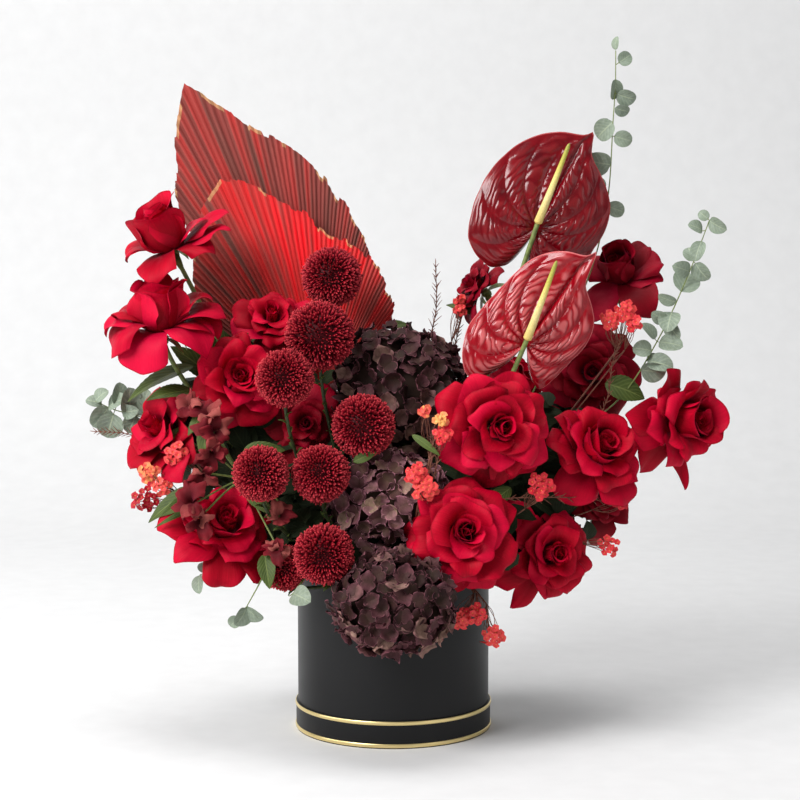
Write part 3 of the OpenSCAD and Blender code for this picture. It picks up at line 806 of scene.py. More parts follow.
# centre, radius, where the stem leaves, and the way the flower looks
MUMS = {
    1: [(-63, -20, 471), 32, (-28, 20), (0.1, -1, 0.1)],
    2: [(-74, -65, 414), 36, (-25, -15), (0.1, -1, -0.1)],
    3: [(-107, -113, 375), 30, (-50, -16), (0.1, -1, 0.1)],
    4: [(-30, -95, 326), 33, (-12, -40), (0.05, -1, 0.0)],
    5: [(-130, -130, 283), 29, (-45, -55), (0.0, -1, 0.2)],
    6: [(-72, -115, 281), 30, (-28, -50), (0.1, -1, 0.3)],
    7: [(-68, -142, 205), 31, (-34, -74), (0.1, -1, -0.1)],
    8: [(-108, -98, 184), 24, (-58, -68), (-0.1, -1, -0.2)],
}


# How long a pompon's petals are.
QUILL = 8.0


def pompon(build, centre, radius, look, seed, count=1380):
    """A ball of short quilled petals that all lean away from the flower's axis."""
    r = rng(seed)
    axis = unit(look)
    turn = aim(axis, (1, 0, 0.1))
    core = radius - QUILL
    # A hidden core in the darkest colour, as painted shade between the petals' feet.
    build.grid(ball() * core + centre, 0.5, 0.0, 0.9, flip=True, wrap=True)
    t, s = steps(5, 3)
    for k in range(count):
        d = spread(k, count)
        z = d[2]
        d = turn @ d
        away = unit(d * float(d @ axis) - axis + 1e-6)
        side = np.cross(d, away)
        size = 0.72 + 0.28 * smooth(1.0, 0.75, z)
        length = QUILL * r.uniform(0.9, 1.1)
        lean = r.uniform(0.4, 2.2) * (0.4 + 0.6 * smooth(1.0, 0.6, z))
        d, away, side = (v + r.normal(0, 0.03, 3) for v in (d, away, side))
        line = core - 0.6 + length * (t - 0.12 * t * t)
        width = 1.2 * size * np.sin(math.pi * (0.12 + 0.80 * t)) ** 0.6
        rise = lean * t * t + 0.7 * (s * s) * np.ones_like(t)
        p = (line + 0 * s)[..., None] * d + rise[..., None] * away + (s * width)[..., None] * side
        build.sheet(p + centre, 0.7, r.random())


def outward(ahead, k):
    """The way leaf k leaves a stem that runs ahead."""
    return unit(np.cross(ahead, (math.cos(k * GOLDEN), math.sin(k * GOLDEN), 0.3)))


def make_mums():
    """The pompons, their stalks, and small bracts along the hidden upper part of each stalk."""
    stalks, scales = Build(), Build()
    for number, (centre, radius, collar, look) in MUMS.items():
        build = Build()
        pompon(build, centre, radius, look, 400 + number)
        build.piece(f"pompon_{number}", MATERIALS["pompon"], [f"mum_{number}"], "pompon_petal")
        start, end = root(collar), np.array(centre) + (0, 4, -radius * 0.6)
        gap = np.linalg.norm(end - start)
        leave = start + unit(end - start) * gap * 0.4
        path = bezier(start, leave, end + (0, 6, -gap * 0.25), end, 24)
        stalks.tube(path, 1.8, 10)
        r = rng(450 + number)
        for k in range(10, 23):
            ahead = unit(path[k + 1] - path[k - 1])
            out = outward(ahead, k)
            leaf = blade(r.uniform(8, 14), 2.6, (70, 45, 10), 0.3, 0.8, 0.9, 0.3)
            put(scales, leaf, path[k], out, ahead, 0.6, r.random())
    stalks.piece("pompon_stalks", MATERIALS["dark_stem"], ["mum_stems"], "green_leaf")
    scales.piece("pompon_bracts", MATERIALS["green"], slot="green_leaf")


# ---- hydrangeas ----

# centre, half sizes, material, number of flowers
HYDRANGEAS = {
    1: [(6, -12, 354), (71, 50, 67), "plum", 185],
    2: [(-8, -72, 246), (64, 42, 52), "mauve", 170],
    3: [(0, -150, 158), (60, 42, 50), "plum", 170],
    4: [(-110, 90, 235), (57, 47, 47), "mauve", 95],
    5: [(120, 90, 240), (57, 47, 47), "plum", 95],
}


def sepal(r, length, half, cup):
    """A rounded sepal growing towards +X, hollow like a shallow spoon."""
    t, s = steps(7, 7)
    width = half * np.sin(math.pi * (0.07 + 0.85 * t) ** 0.8) ** 0.5
    out = length * t * (1 - 0.24 * np.abs(s) ** 1.5)
    rise = cup * (0.9 * out**2 / length + 0.55 * (s * width) ** 2 / half)
    rise = rise - r.uniform(0.0, 0.5) * half * smooth(0.75, 1.0, t) * (1 - 0.5 * s * s)
    rise = rise + 1.5 * np.sin(3.4 * s + r.uniform(0, 6)) * t * t
    return np.stack([out, s * width, rise], -1)


def make_hydrangeas():
    """Mopheads: flowers of four sepals all over a hidden core."""
    for number, (centre, half, material, count) in HYDRANGEAS.items():
        r = rng(500 + number)
        build = Build()
        half = np.array(half, float)
        # A hidden core in the darkest tone, as painted shade in the gaps between the flowers.
        build.grid(ball() * (half - 12) + centre, 0.5, 0.2, 0.0, flip=True, wrap=True)
        for k in range(count):
            d = spread(k, count, 2)
            depth = r.uniform(1.0, 8.0)
            at = centre + d * (half - depth) + r.normal(0, 1.5, 3)
            face = unit(unit(d / half) + r.normal(0, 0.42, 3))
            turn = aim(face, (math.cos(k), math.sin(k), 0.2))
            start, size = r.uniform(0, 90), r.uniform(0.8, 1.2)
            low = 0.5 * smooth(0.2, -0.9, d[2]) if material == "plum" else 0.0
            tone, cup = r.beta(1.2, 2.2) + low, r.uniform(0.05, 0.85)
            for i in range(4):
                p = sepal(r, 10.5 * size, 7.4 * size, cup * r.uniform(0.5, 1.5))
                p[..., 2] += 0.8 * (i % 2)
                p = spin(p, start + 90 * i + r.uniform(-8, 8)) @ turn.T + at
                build.sheet(p, 0.4, np.clip(tone + r.normal(0, 0.08), 0, 1))
        slot = "hydrangea_dark" if material == "plum" else "hydrangea_mauve"
        build.piece(f"sepals_{number}", MATERIALS[material], [f"hydrangea_{number}"], slot)


# ---- anthuriums ----

# Outline of each leaf: angle from the tip, seen from the notch, and reach as a share of the tip's.
OUTLINES = {
    1: [(-176, 0.10), (-170, 0.42), (-158, 0.56), (-142, 0.615), (-126, 0.645), (-106, 0.62),
        (-85, 0.635), (-68, 0.68), (-52, 0.74), (-39, 0.81), (-25, 0.88), (-14, 0.925), (-6, 0.95),
        (-2.5, 0.98), (0, 1.05), (2.5, 0.94), (6, 0.86), (13, 0.81), (25, 0.77), (45, 0.725),
        (60, 0.66), (80, 0.57), (100, 0.545), (120, 0.54), (140, 0.53), (155, 0.50), (165, 0.38),
        (172, 0.12)],
    2: [(-172, 0.12), (-168, 0.32), (-159, 0.59), (-150, 0.62), (-136, 0.60), (-122, 0.57),
        (-108, 0.555), (-95, 0.53), (-85, 0.52), (-68, 0.535), (-53, 0.59), (-42, 0.67), (-33, 0.76),
        (-26, 0.82), (-19, 0.87), (-10, 0.92), (-5, 0.94), (-2.5, 0.97), (0, 1.06), (2.5, 0.90),
        (6, 0.79), (12, 0.735), (21, 0.71), (36, 0.67), (44, 0.63), (58, 0.54), (73, 0.45),
        (90, 0.41), (109, 0.41), (122, 0.43), (130, 0.43), (136, 0.30), (140, 0.12)],
}
# notch, lean back, turn, length to the tip, spadix vector, hood at the tip
ANTHURIUMS = {
    1: [(148, 0, 521), 10, -28, 111, (30, -20, 80), 4.0],
    2: [(134, -55, 405), 10, -35, 110, (27, -24, 79), 16.0],
}


def spathe(build, number, at):
    """A heart-shaped leaf, quilted by veins that leave the notch and bend towards the tip."""
    notch, lean, turn, tip, _, hood = at
    r = rng(600 + number)
    angles, reaches = np.array(OUTLINES[number]).T
    a = np.linspace(angles[0], angles[-1], 241)[None, :]
    share = np.linspace(0.0, 1.0, 72)[:, None] ** 0.9
    reach = np.interp(a, angles, reaches)
    kernel = np.hanning(7) / np.hanning(7).sum()
    blend = smooth(2, 8, np.abs(a))
    reach = reach * (1 - blend) + blend * np.convolve(np.pad(reach[0], 3, "edge"), kernel, "valid")
    rad = np.radians(a)
    x, y = tip * reach * share * np.sin(rad), tip * reach * share * np.cos(rad)
    # Bands between the side veins, counted from the tip; each is crossed by finer veins.
    bend = 0.5 * share**1.2
    band = np.abs(a) ** (1 - bend) * 200**bend / 31.0 + 0.06 * np.sin(5 * share + number)
    order = (np.floor(band) + 20 * (a > 0)).astype(int) % 40
    count, phase = r.uniform(8.5, 12.5, 40)[order], r.uniform(0, 1, 40)[order]
    pillow = np.abs(np.sin(math.pi * band)) ** 0.7
    rung = share * count + phase + 0.4 * (band % 1) + 0.25 * np.sin(3 * band + 9 * share)
    rung = rung + 0.18 * np.sin(17 * share + 5 * band) + 0.1 * np.sin(41 * share - 9 * band)
    cells = np.abs(np.sin(math.pi * rung)) ** 0.7
    # The quilt fades out at the notch and at the rim; the midrib is a groove.
    inner = smooth(0.04, 0.25, share) * (1 - 0.85 * smooth(0.88, 1.0, share))
    height = (1.5 * pillow + (0.8 + 0.3 * number) * pillow * cells) * inner
    height = height - 2.4 * np.exp(-((x / 2.0) ** 2)) * (y > 0) * smooth(0.02, 0.2, share)
    # The leaf's large shape: a dome whose lobes and one side fall back, a hood and a hooked tip.
    height = height + 12 * share * (1 - share) - 8 * share**3 * smooth(50, 110, np.abs(a))
    height = height - 6 * share * np.sin(rad)
    height = height + 3.0 * share**3 * np.sin(rad * 3 + number)
    curl = hood * smooth(0.72, 1.0, share) * np.exp(-((a / 20.0) ** 2))
    hook = 6 * smooth(0.86, 1.0, share) * np.exp(-((a / 8.0) ** 2))
    p = np.stack([x + hook, y, height + curl + 1.0], -1)
    p = spin(p, turn) @ about(0, 90 - lean).T + notch
    # The tops of the raised cells are painted pale: a painted highlight of the glare off them.
    fade = 0.5 + 0.5 * np.sin(7 * share + 2.3 * band) * np.sin(4.1 * band - 3 * share)
    glare = smooth(0.35 + 0.4 * fade, 0.95, pillow * cells) * inner
    across = (a - angles[0]) / (angles[-1] - angles[0])
    build.sheet(p, 0.9, glare, across, share)


def spadix(build, at):
    """The beaded spike of an anthurium, which starts at its leaf's notch."""
    notch, vector = np.array(at[0]), at[4]
    foot = notch + (0, -9, 4)
    t, a = np.linspace(0, 1, 90)[:, None], around(32)
    radius = (4.5 - 2.6 * t) * np.sqrt(np.clip(1 - ((t - 0.93) / 0.07).clip(0) ** 2, 0, 1))
    radius = radius * smooth(-0.02, 0.03, t)
    beads = np.abs(np.sin(8 * a + 55 * t) * np.sin(8 * a - 55 * t))
    radius = radius * (0.95 + 0.07 * beads)
    bow = 3.0 * np.sin(math.pi * t)
    up = (np.linalg.norm(vector) + 2) * t + 0 * a
    p = np.stack([radius * np.cos(a) + bow, radius * np.sin(a), up], -1)
    build.grid(p @ aim(vector, (0, -1, 0)).T + foot, a / (2 * math.pi), t, 0.5, flip=True, wrap=True)


def make_anthuriums():
    """A leaf and a spike for each anthurium."""
    for number, at in ANTHURIUMS.items():
        build = Build()
        spathe(build, number, at)
        build.piece(f"heart_{number}", MATERIALS[f"spathe_{number}"], [f"spathe_{number}"], "spathe")
        build = Build()
        spadix(build, at)
        build.piece(f"spike_{number}", MATERIALS["spadix"], [f"spadix_{number}"], "spadix")


# ---- dried palm leaves ----

# foot, angles from upright, reach at each of them, number of folds, then angles and tones; the tones
# are partly the dye's own streaks and partly painted light and shade across each fan
PALMS = {
    1: [(-78, 66, 352), [-41, -39, -33, -27, -24, -20, -14, -5, 5, 21],
        [190, 235, 279, 327, 351, 318, 281, 248, 203, 149], 50,
        [-41, -31, -20, -7, 7, 21], [0.34, 0.42, 0.46, 0.46, 0.34, 0.26]],
    2: [(-74, 42, 336), [-78, -68, -59, -51, -43, -33, -24, -13, 2, 18, 33, 40],
        [112, 134, 154, 178, 200, 238, 259, 221, 177, 162, 132, 114], 72,
        [-78, -60, -48, -36, -25, -12, 1, 15, 27, 40],
        [0.14, 0.24, 0.42, 0.50, 0.62, 1.0, 1.0, 0.70, 0.58, 0.75]],
}
# Steps across one fold, and how far from its foot a fan's blade starts.
FOLD_STEPS = 4
PALM_FOOT = 14


def palm(build, number):
    """A dried fan: pleats out from its foot, cut to a point and frayed along its edge."""
    at, angles, reach, folds, tone_angles, tones = PALMS[number]
    r = rng(700 + number)
    n = folds * FOLD_STEPS + 1
    a = np.linspace(angles[0], angles[-1], n)
    fold = np.arange(n) / FOLD_STEPS
    jag = np.repeat(r.uniform(-1.0, 1.0, folds + 1) ** 3 * 5.0, FOLD_STEPS)[:n]
    tip = np.interp(a, angles, reach) + jag + 0.5 * np.abs(np.sin(math.pi * fold))
    tip = tip + r.uniform(-0.4, 0.4, n)
    t = np.linspace(0, 1, 18)[:, None]
    radius = PALM_FOOT + (tip - PALM_FOOT) * t
    pleat = math.radians(a[1] - a[0]) * FOLD_STEPS
    zigzag = np.abs(((fold + 0.5) % 1) * 2 - 1) - 0.5
    depth = 0.62 * zigzag * radius * pleat
    bow = 10 * t * t - 5 * t + 1.4 * np.sin(a * 0.11 + number) * t
    rad = np.radians(a)
    p = np.stack([radius * np.sin(rad), depth + bow, radius * np.cos(rad)], -1)
    shade = r.random(folds + 1)[fold.astype(int)]
    tone = np.clip(np.interp(a, tone_angles, tones) + 0.42 * (shade - 0.5), 0, 1)
    build.sheet(p + at, 0.8, tone)


def make_palms():
    """One piece for each fan."""
    for number in PALMS:
        build = Build()
        palm(build, number)
        build.piece(f"fan_{number}", MATERIALS["palm"], [f"palm_{number}"], "dried_palm")


# ---- eucalyptus ----

# line of the stem, then leaves: where each sits, and its size
TOP_STEM = [(50, 45, 174), (150, 44, 350), (215, 34, 500), (224, 28, 550), (229, 28, 633),
            (231, 28, 669), (231, 28, 704)]
TOP_LEAVES = [(229, 711, 11), (241, 696, 12), (227, 668, 16), (243, 657, 19), (239, 641, 14),
              (221, 626, 20), (240, 613, 18), (224, 585, 24), (230, 541, 18), (212, 566, 16)]
RIGHT_STEM = [(78, 10, 174), (170, 6, 290), (240, -2, 350), (271, -8, 401), (304, -8, 473),
              (316, -8, 504), (325, -8, 529)]
RIGHT_LEAVES = [(319, 534, 12), (330, 525, 18), (310, 517, 16), (316, 503, 20), (308, 491, 14),
                (295, 479, 20), (319, 477, 18), (298, 458, 22), (285, 449, 18), (287, 434, 20),
                (273, 431, 16), (289, 417, 18), (263, 414, 20), (287, 398, 20), (268, 387, 16),
                (276, 377, 22), (258, 372, 22), (262, 396, 16)]
LEFT_STEM = [(-78, 12, 174), (-180, 20, 260), (-262, 22, 322), (-296, 22, 332), (-312, 20, 340)]
LEFT_LEAVES = [(-310, 336, 16), (-303, 324, 20), (-294, 338, 22), (-284, 328, 20), (-275, 341, 22),
               (-296, 315, 20), (-312, 322, 16), (-268, 330, 20), (-305, 346, 16), (-284, 346, 18),
               (-260, 340, 20), (-272, 318, 18)]
LOW_STEM = [(-76, -58, 174), (-120, -66, 176), (-155, -72, 180), (-180, -72, 178), (-196, -72, 172)]
LOW_LEAVES = [(-197, 170, 17), (-192, 180, 11), (-181, 174, 14), (-172, 178, 15)]
SPRIG_STEM = [(-100, -84, 190), (-126, -110, 182), (-137, -118, 164), (-146, -120, 148)]
SPRIG_LEAVES = [(-144, 148, 16), (-151, 140, 15), (-137, 142, 15), (-158, 133, 11)]
HANG_STEM = [(-84, -100, 180), (-96, -112, 166), (-101, -113, 160), (-104, -112, 158)]


def leafy_stem(build, leaves, stem, y, spots, seed):
    """A stem with a leaf at each spot (x, z, size), joined to its nearest point."""
    r = rng(seed)
    path = through(stem, 40)
    build.tube(path, np.linspace(1.1, 0.5, len(path)), 8, 0.9)
    for x, z, size in spots:
        spot = np.array([x, y + r.uniform(-7, 5), z], float)
        near = path[np.argmin(np.linalg.norm(path[2:] - spot, axis=1)) + 2]
        ahead = unit(spot - near + (0.01, 0, 0.01))
        gap = np.linalg.norm(spot - near)
        face = unit([r.uniform(-0.9, 0.9), -1, r.uniform(-0.6, 0.9)])
        size = size * r.uniform(1.1, 1.4)
        leaf = blade(size, size * r.uniform(0.30, 0.52), (16, 0, -24), 0.14, 0.86, 0.56, 0, 0.15)
        shift = max(gap - size * 0.5, 0)
        put(leaves, leaf, near + ahead * shift, ahead, face, 0.5, r.random())
        if shift > 1.0:
            build.tube([near, near + ahead * shift * 0.6, near + ahead * (shift + 1.5)], 0.45, 6, 0.8)


def make_eucalyptus():
    """Four groups of sprigs, each a piece of leaves and a piece of stems."""
    groups = {
        "top": [(TOP_STEM, 28, TOP_LEAVES)],
        "right": [(RIGHT_STEM, -8, RIGHT_LEAVES)],
        "left": [(LEFT_STEM, 20, LEFT_LEAVES)],
        "low": [(LOW_STEM, -72, LOW_LEAVES), (SPRIG_STEM, -119, SPRIG_LEAVES),
                (HANG_STEM, -112, [(-91, 153, 20)])],
    }
    for k, (name, sprigs) in enumerate(groups.items()):
        stems, leaves = Build(), Build()
        for j, (stem, y, spots) in enumerate(sprigs):
            leafy_stem(stems, leaves, stem, y, spots, 800 + 10 * k + j)
        leaves.piece(f"leaves_{name}", MATERIALS["eucalyptus"], [f"eucalyptus_{name}"], "eucalyptus")
        stems.piece(f"sprig_{name}", MATERIALS["stem"], slot="eucalyptus")


# ---- coral flowers ----

# centre of each cluster, flowers in it, its radius, tone, and where its branch starts and forks
CORAL = {
    "left": [[(-219, -62, 294), 14, 11, 0.62, (-72, -22), (-190, -52, 270)],
             [(-247, -62, 275), 10, 9, 0.85, (-78, -32), (-215, -56, 250)],
             [(-234, -62, 260), 10, 9, 0.75, (-78, -32), (-215, -56, 250)],
             [(-252, -62, 248), 14, 12, 0.12, (-78, -32), (-222, -58, 238)]],
    "centre": [[(31, -125, 344), 5, 4, 0.80, (18, -50), (36, -112, 300)],
               [(46, -125, 336), 6, 6, 0.98, (18, -50), (38, -112, 300)],
               [(48, -125, 320), 10, 8, 0.55, (18, -50), (38, -112, 296)],
               [(22, -134, 283), 14, 10, 0.60, (12, -62), (26, -122, 262)],
               [(31, -134, 268), 14, 11, 0.66, (12, -62), (26, -122, 258)],
               [(147, -92, 266), 16, 12, 0.45, (58, -34), (132, -78, 240)]],
    "right": [[(222, -30, 428), 11, 9, 0.62, (72, -8), (230, -18, 396)],
              [(237, -30, 436), 13, 10, 0.58, (72, -8), (234, -16, 400)],
              [(246, -30, 425), 8, 7, 0.55, (72, -8), (238, -18, 396)],
              [(221, -42, 197), 11, 10, 0.55, (62, -40), (190, -44, 200)],
              [(234, -30, 239), 6, 6, 0.40, (76, -14), (205, -30, 232)],
              [(71, 50, 444), 6, 5, 0.66, (30, 28), (62, 50, 400)],
              [(71, 50, 434), 6, 5, 0.62, (30, 28), (62, 50, 400)],
              [(66, -120, 136), 13, 9, 0.62, (62, -70), (80, -108, 160)],
              [(80, -120, 141), 14, 10, 0.55, (62, -70), (82, -108, 160)],
              [(98, -120, 119), 14, 10, 0.66, (62, -70), (92, -110, 150)]],
}


def blossom(build, centre, face, size, tone, r):
    """A small open flower of five petals."""
    turn = aim(face, (0.3, 0.2, 1))
    start = r.uniform(0, 72)
    for i in range(5):
        p = blade(size, size * 0.46, (45, 15, -15), 0.0, 0.9, 0.55, 0, 0.25, 5, 5)
        p = spin(p, start + 72 * i) @ turn.T + centre
        build.sheet(p, 0.4, np.clip(tone + r.normal(0, 0.06), 0, 1))


def make_coral():
    """Clusters of small flowers, each cluster on a branch that forks into its flowers."""
    for k, (name, clusters) in enumerate(CORAL.items()):
        flowers, branches = Build(), Build()
        r = rng(900 + k)
        for centre, count, size, tone, collar, fork in clusters:
            start, fork = root(collar, 12), np.array(fork)
            branches.tube(through([start, (start + fork) / 2 + (0, 0, 8), fork], 14), 0.8, 6)
            for i in range(count):
                a, out = i * GOLDEN, math.sqrt((i + 0.5) / count)
                x, z = out * math.cos(a), out * math.sin(a)
                at = np.array(centre) + (size * x, -4 * (1 - out) + r.uniform(-2, 2), size * z)
                face = unit((0.6 * x, -1, 0.6 * z) + r.normal(0, 0.25, 3))
                blossom(flowers, at, face, r.uniform(4.0, 5.4), tone, r)
                middle = (fork + at) / 2 + r.normal(0, 2.5, 3)
                branches.tube(through([fork, middle, at - face * 0.5], 7), 0.34, 5)
        flowers.piece(f"blossoms_{name}", MATERIALS["coral"], [f"coral_{name}"], "coral_petal")
        branches.piece(f"branches_{name}", MATERIALS["twig"], slot="twig")


# ---- heath twigs ----

TWIGS = [
    [(14, 18, 174), (38, 40, 400), (45, 45, 430), (45, 45, 484)],
    [(30, 28, 174), (60, 52, 380), (71, 56, 420), (69, 56, 446)],
    [(64, -14, 174), (195, -18, 300), (220, -22, 345), (226, -22, 386), (235, -22, 410)],
    [(-76, 4, 174), (-210, 10, 270), (-276, 12, 306), (-314, 12, 309)],
    [(50, -30, 174), (100, -90, 250), (150, -80, 252), (200, -50, 246), (238, -34, 238)],
    [(10, -60, 174), (28, -118, 255), (34, -128, 290), (40, -126, 322)],
    [(14, -60, 174), (30, -118, 250), (42, -126, 290), (46, -126, 318)],
]


# The first four twigs are long and carry more needles than the others.
TWIG_STEPS, MANY_NEEDLES, FEW_NEEDLES = 60, 64, 26


def make_twigs():
    """Heath: thin stems with needles on their outer half, longest away from the tip."""
    build = Build()
    for k, points in enumerate(TWIGS):
        r = rng(1000 + k)
        path = through(points, TWIG_STEPS)
        build.tube(path, np.linspace(0.9, 0.45, TWIG_STEPS), 6)
        last = TWIG_STEPS - 1
        needles = MANY_NEEDLES if k < 4 else FEW_NEEDLES
        for i in range(needles):
            j = int(last - i * (26 if k < 2 else 32) / needles)
            ahead = unit(path[min(j + 1, last)] - path[j - 1])
            out = outward(ahead, i)
            length = r.uniform(6, 12) * (0.6 + 0.4 * min(i / 12, 1))
            tip = path[j] + unit(out + ahead * 1.3) * length
            build.tube([path[j], (path[j] + tip) / 2 + ahead * 0.4, tip], [0.5, 0.45, 0.2], 5)
    build.piece("heath", MATERIALS["twig"], ["twigs"], "twig")


# ---- leaves ----

# foot, tip, half width, way the face looks, shade
LEAVES = [
    [(-205, -20, 380), (-272, -50, 349), 15, (-0.3, -0.6, 1), 0.5],
    [(-204, -40, 356), (-250, -60, 336), 12, (0.2, -0.6, 1), 0.3],
    [(-232, -50, 310), (-200, -62, 326), 5.5, (0, -1, 0.6), 1.0],
    [(-200, -70, 262), (-250, -88, 233), 9, (-0.3, -1, 0.5), 0.3],
    [(-196, -80, 258), (-232, -100, 236), 7, (0.3, -1, 0.3), 0.5],
    [(-196, -80, 244), (-240, -92, 223), 3, (0, -1, 0.5), 0.7],
    [(-180, -10, 384), (-150, -30, 410), 8, (0, -1, -0.2), 0.4],
    [(-188, 0, 350), (-190, -20, 398), 9, (1, -1, 0), 0.2],
    [(-184, -4, 366), (-228, -14, 402), 12, (0.2, -1, 0.3), 0.1],
    [(-176, 12, 350), (-198, 8, 424), 14, (0.5, -1, 0.1), 0.0],
    [(-166, 6, 372), (-176, 0, 416), 11, (0.2, -1, 0), 0.1],
    [(-12, 50, 416), (14, 40, 428), 6, (0, -1, 1), 0.9],
    [(160, -20, 236), (196, -34, 250), 10, (0.1, -1, 0.6), 0.25],
    [(118, -80, 262), (90, -110, 250), 9, (0, -1, 0.5), 0.2],
    [(-128, -110, 200), (-122, -122, 166), 9, (0, -1, 0.4), 0.5],
    [(-120, -110, 196), (-108, -124, 170), 8, (0.4, -1, 0), 0.4],
    [(-150, -90, 300), (-120, -118, 312), 9, (0, -1, 0.4), 0.6],
    [(-148, -100, 268), (-130, -122, 242), 7, (-0.4, -1, 0), 0.5],
    [(-190, -70, 330), (-196, -92, 282), 9, (-0.6, -1, 0), 0.4],
    [(-186, -76, 340), (-206, -96, 322), 7, (-0.2, -1, 0.6), 0.9],
    [(-40, -110, 292), (-22, -124, 304), 5, (0, -1, 0.3), 0.8],
    [(24, -130, 230), (38, -140, 238), 3.5, (0, -1, 0.4), 1.0],
    [(18, -120, 320), (44, -140, 306), 4, (0, -1, 0.4), 0.9],
    [(220, 0, 360), (262, -14, 352), 14, (0.2, -1, 0.6), 0.3],
    [(90, 60, 430), (60, 50, 446), 6, (0, -1, 0.6), 0.6],
    [(250, -4, 330), (286, -18, 302), 11, (0.5, -1, 0.2), 0.3],
    [(-110, 120, 300), (-160, 140, 270), 14, (-0.3, 1, 0.5), 0.4],
    [(120, 120, 330), (170, 135, 300), 14, (0.3, 1, 0.5), 0.4],
    [(10, 120, 230), (40, 148, 196), 13, (0.2, 1, 0.5), 0.4],
    [(-60, 110, 210), (-90, 146, 182), 13, (-0.2, 1, 0.5), 0.4],
    [(70, 100, 220), (100, 140, 190), 13, (0.2, 1, 0.5), 0.4],
]


def make_leaves():
    """The leaves that the photo shows between the flowers, and a few at the back."""
    build = Build()
    for foot, tip, half, face, tone in LEAVES:
        ahead = np.subtract(tip, foot)
        length = np.linalg.norm(ahead)
        leaf = blade(length, half, (14, 2, -16), 0.22, 0.75, 0.85, 0.05, 0.0, 25, 9, twist=12)
        put(build, leaf, foot, ahead, face, 0.6, tone)
    build.piece("rose_leaves", MATERIALS["green"], ["leaves"], "green_leaf")


# Leaves further back than this are out of the flowers' shade.
BACK_Y = 25
# Filler leaves stay this far behind the centre of a flower that they would cover.
BEHIND = 24
# The lowest a filler leaf goes over the box and beyond it, and the radius between the two.
LOW_OVER_BOX, LOW_BEYOND, BOX_REACH = 196, 182, 112
# centre, half sizes, number of leaves, smallest share of the half sizes
THICKETS = [
    [(0, 8, 205), (186, 100, 172), 480, 0.75],
    [(0, 12, 225), (140, 72, 130), 420, 0.80],
    [(-150, 5, 312), (84, 42, 92), 200, 0.60],
    [(160, 0, 268), (78, 42, 84), 150, 0.60],
    [(-80, -70, 205), (72, 46, 34), 120, 0.60],
    [(90, -70, 205), (80, 46, 34), 120, 0.60],
]


def make_filler():
    """Leaves that close the gaps between the flowers: near black in front as painted shade, green at
    the back.
    """
    front, back = Build(), Build()
    r = rng(1100)
    faces = [(at[0], at[1]) for at in [*ROSES.values(), *MUMS.values()]]
    faces += [(at[0], at[1][0]) for at in HYDRANGEAS.values() if at[0][1] < 0]
    for centre, half, count, least in THICKETS:
        for k in range(count):
            d = spread(k, count)
            layer = least + (1 - least) * ((k * 7) % 10) / 10
            at = centre + d * half * layer
            for face_at, size in faces:
                near = math.hypot(at[0] - face_at[0], at[2] - face_at[2]) < size + 8
                if near and at[1] < face_at[1] + BEHIND:
                    at[1] = face_at[1] + r.uniform(BEHIND, BEHIND + 10)
            floor = LOW_OVER_BOX if np.hypot(at[0], at[1]) < BOX_REACH else LOW_BEYOND
            at[2] = max(at[2], floor + r.uniform(0, 14))
            face = unit(d + r.normal(0, 0.4, 3) + (0, -0.6, 0.3))
            ahead = unit(np.cross(face, r.normal(0, 1, 3)))
            size = r.uniform(32, 50)
            half_width = size * r.uniform(0.22, 0.34)
            leaf = blade(size, half_width, (20, 0, -25), 0.2, 0.8, 0.8, 0.04, 0, 7, 5)
            side = back if at[1] > BACK_Y else front
            put(side, leaf, at - ahead * size * 0.5, ahead, face, 0.5, r.random())
    front.piece("filler_leaves", MATERIALS["shade"], slot="green_leaf")
    back.piece("back_leaves", MATERIALS["green"], slot="green_leaf")


# ---- wine-red florets ----

# centre, radius, lean, heading, number of petals
FLORETS = [
    [(-186, -92, 340), 15, 40, 250, 6], [(-176, -100, 322), 16, 70, 290, 6],
    [(-180, -104, 300), 15, 110, 280, 6], [(-200, -122, 256), 17, 60, 240, 6],
    [(-206, -74, 345), 14, 50, 230, 5], [(-116, -120, 206), 13, 80, 250, 5],
    [(-112, -114, 240), 13, 70, 280, 5], [(-188, -112, 278), 12, 120, 260, 5],
    [(-190, -124, 236), 14, 100, 290, 5],
]


def make_florets():
    """Small ruffled flowers, each a ring of petals curled at random."""
    build, stalks = Build(), Build()
    for k, (centre, size, tilt, heading, count) in enumerate(FLORETS):
        r = rng(1200 + k)
        turn = facing(tilt, heading)
        for i in range(count):
            curl = ((40, 75), (0, 60), (-60, 30), (-120, 0))
            slopes = (80, *(r.uniform(low, high) for low, high in curl))
            p = petal(r, (0.06, -0.5), r.uniform(1.1, 1.9), r.uniform(0.45, 0.75), slopes, 0.5,
                      r.uniform(0.05, 0.3), 0.22, 0.1, 12, 11)
            p = spin(p * size, 360 * i / count + r.uniform(-20, 20)) @ turn.T + centre
            build.sheet(p, 0.5, r.random())
        back = centre - turn @ UP * size * 0.5
        stalks.tube(through([(-66, -38, 160), (-150, -80, 270), back], 24), 1.0, 6)
    build.piece("wine_florets", MATERIALS["floret"], ["florets"], "floret")
    stalks.piece("floret_stalks", MATERIALS["stem"], slot="green_leaf")


# ---- scene ----


# How far the trims' rounding goes in from their outer side.
BEAD = 1.0


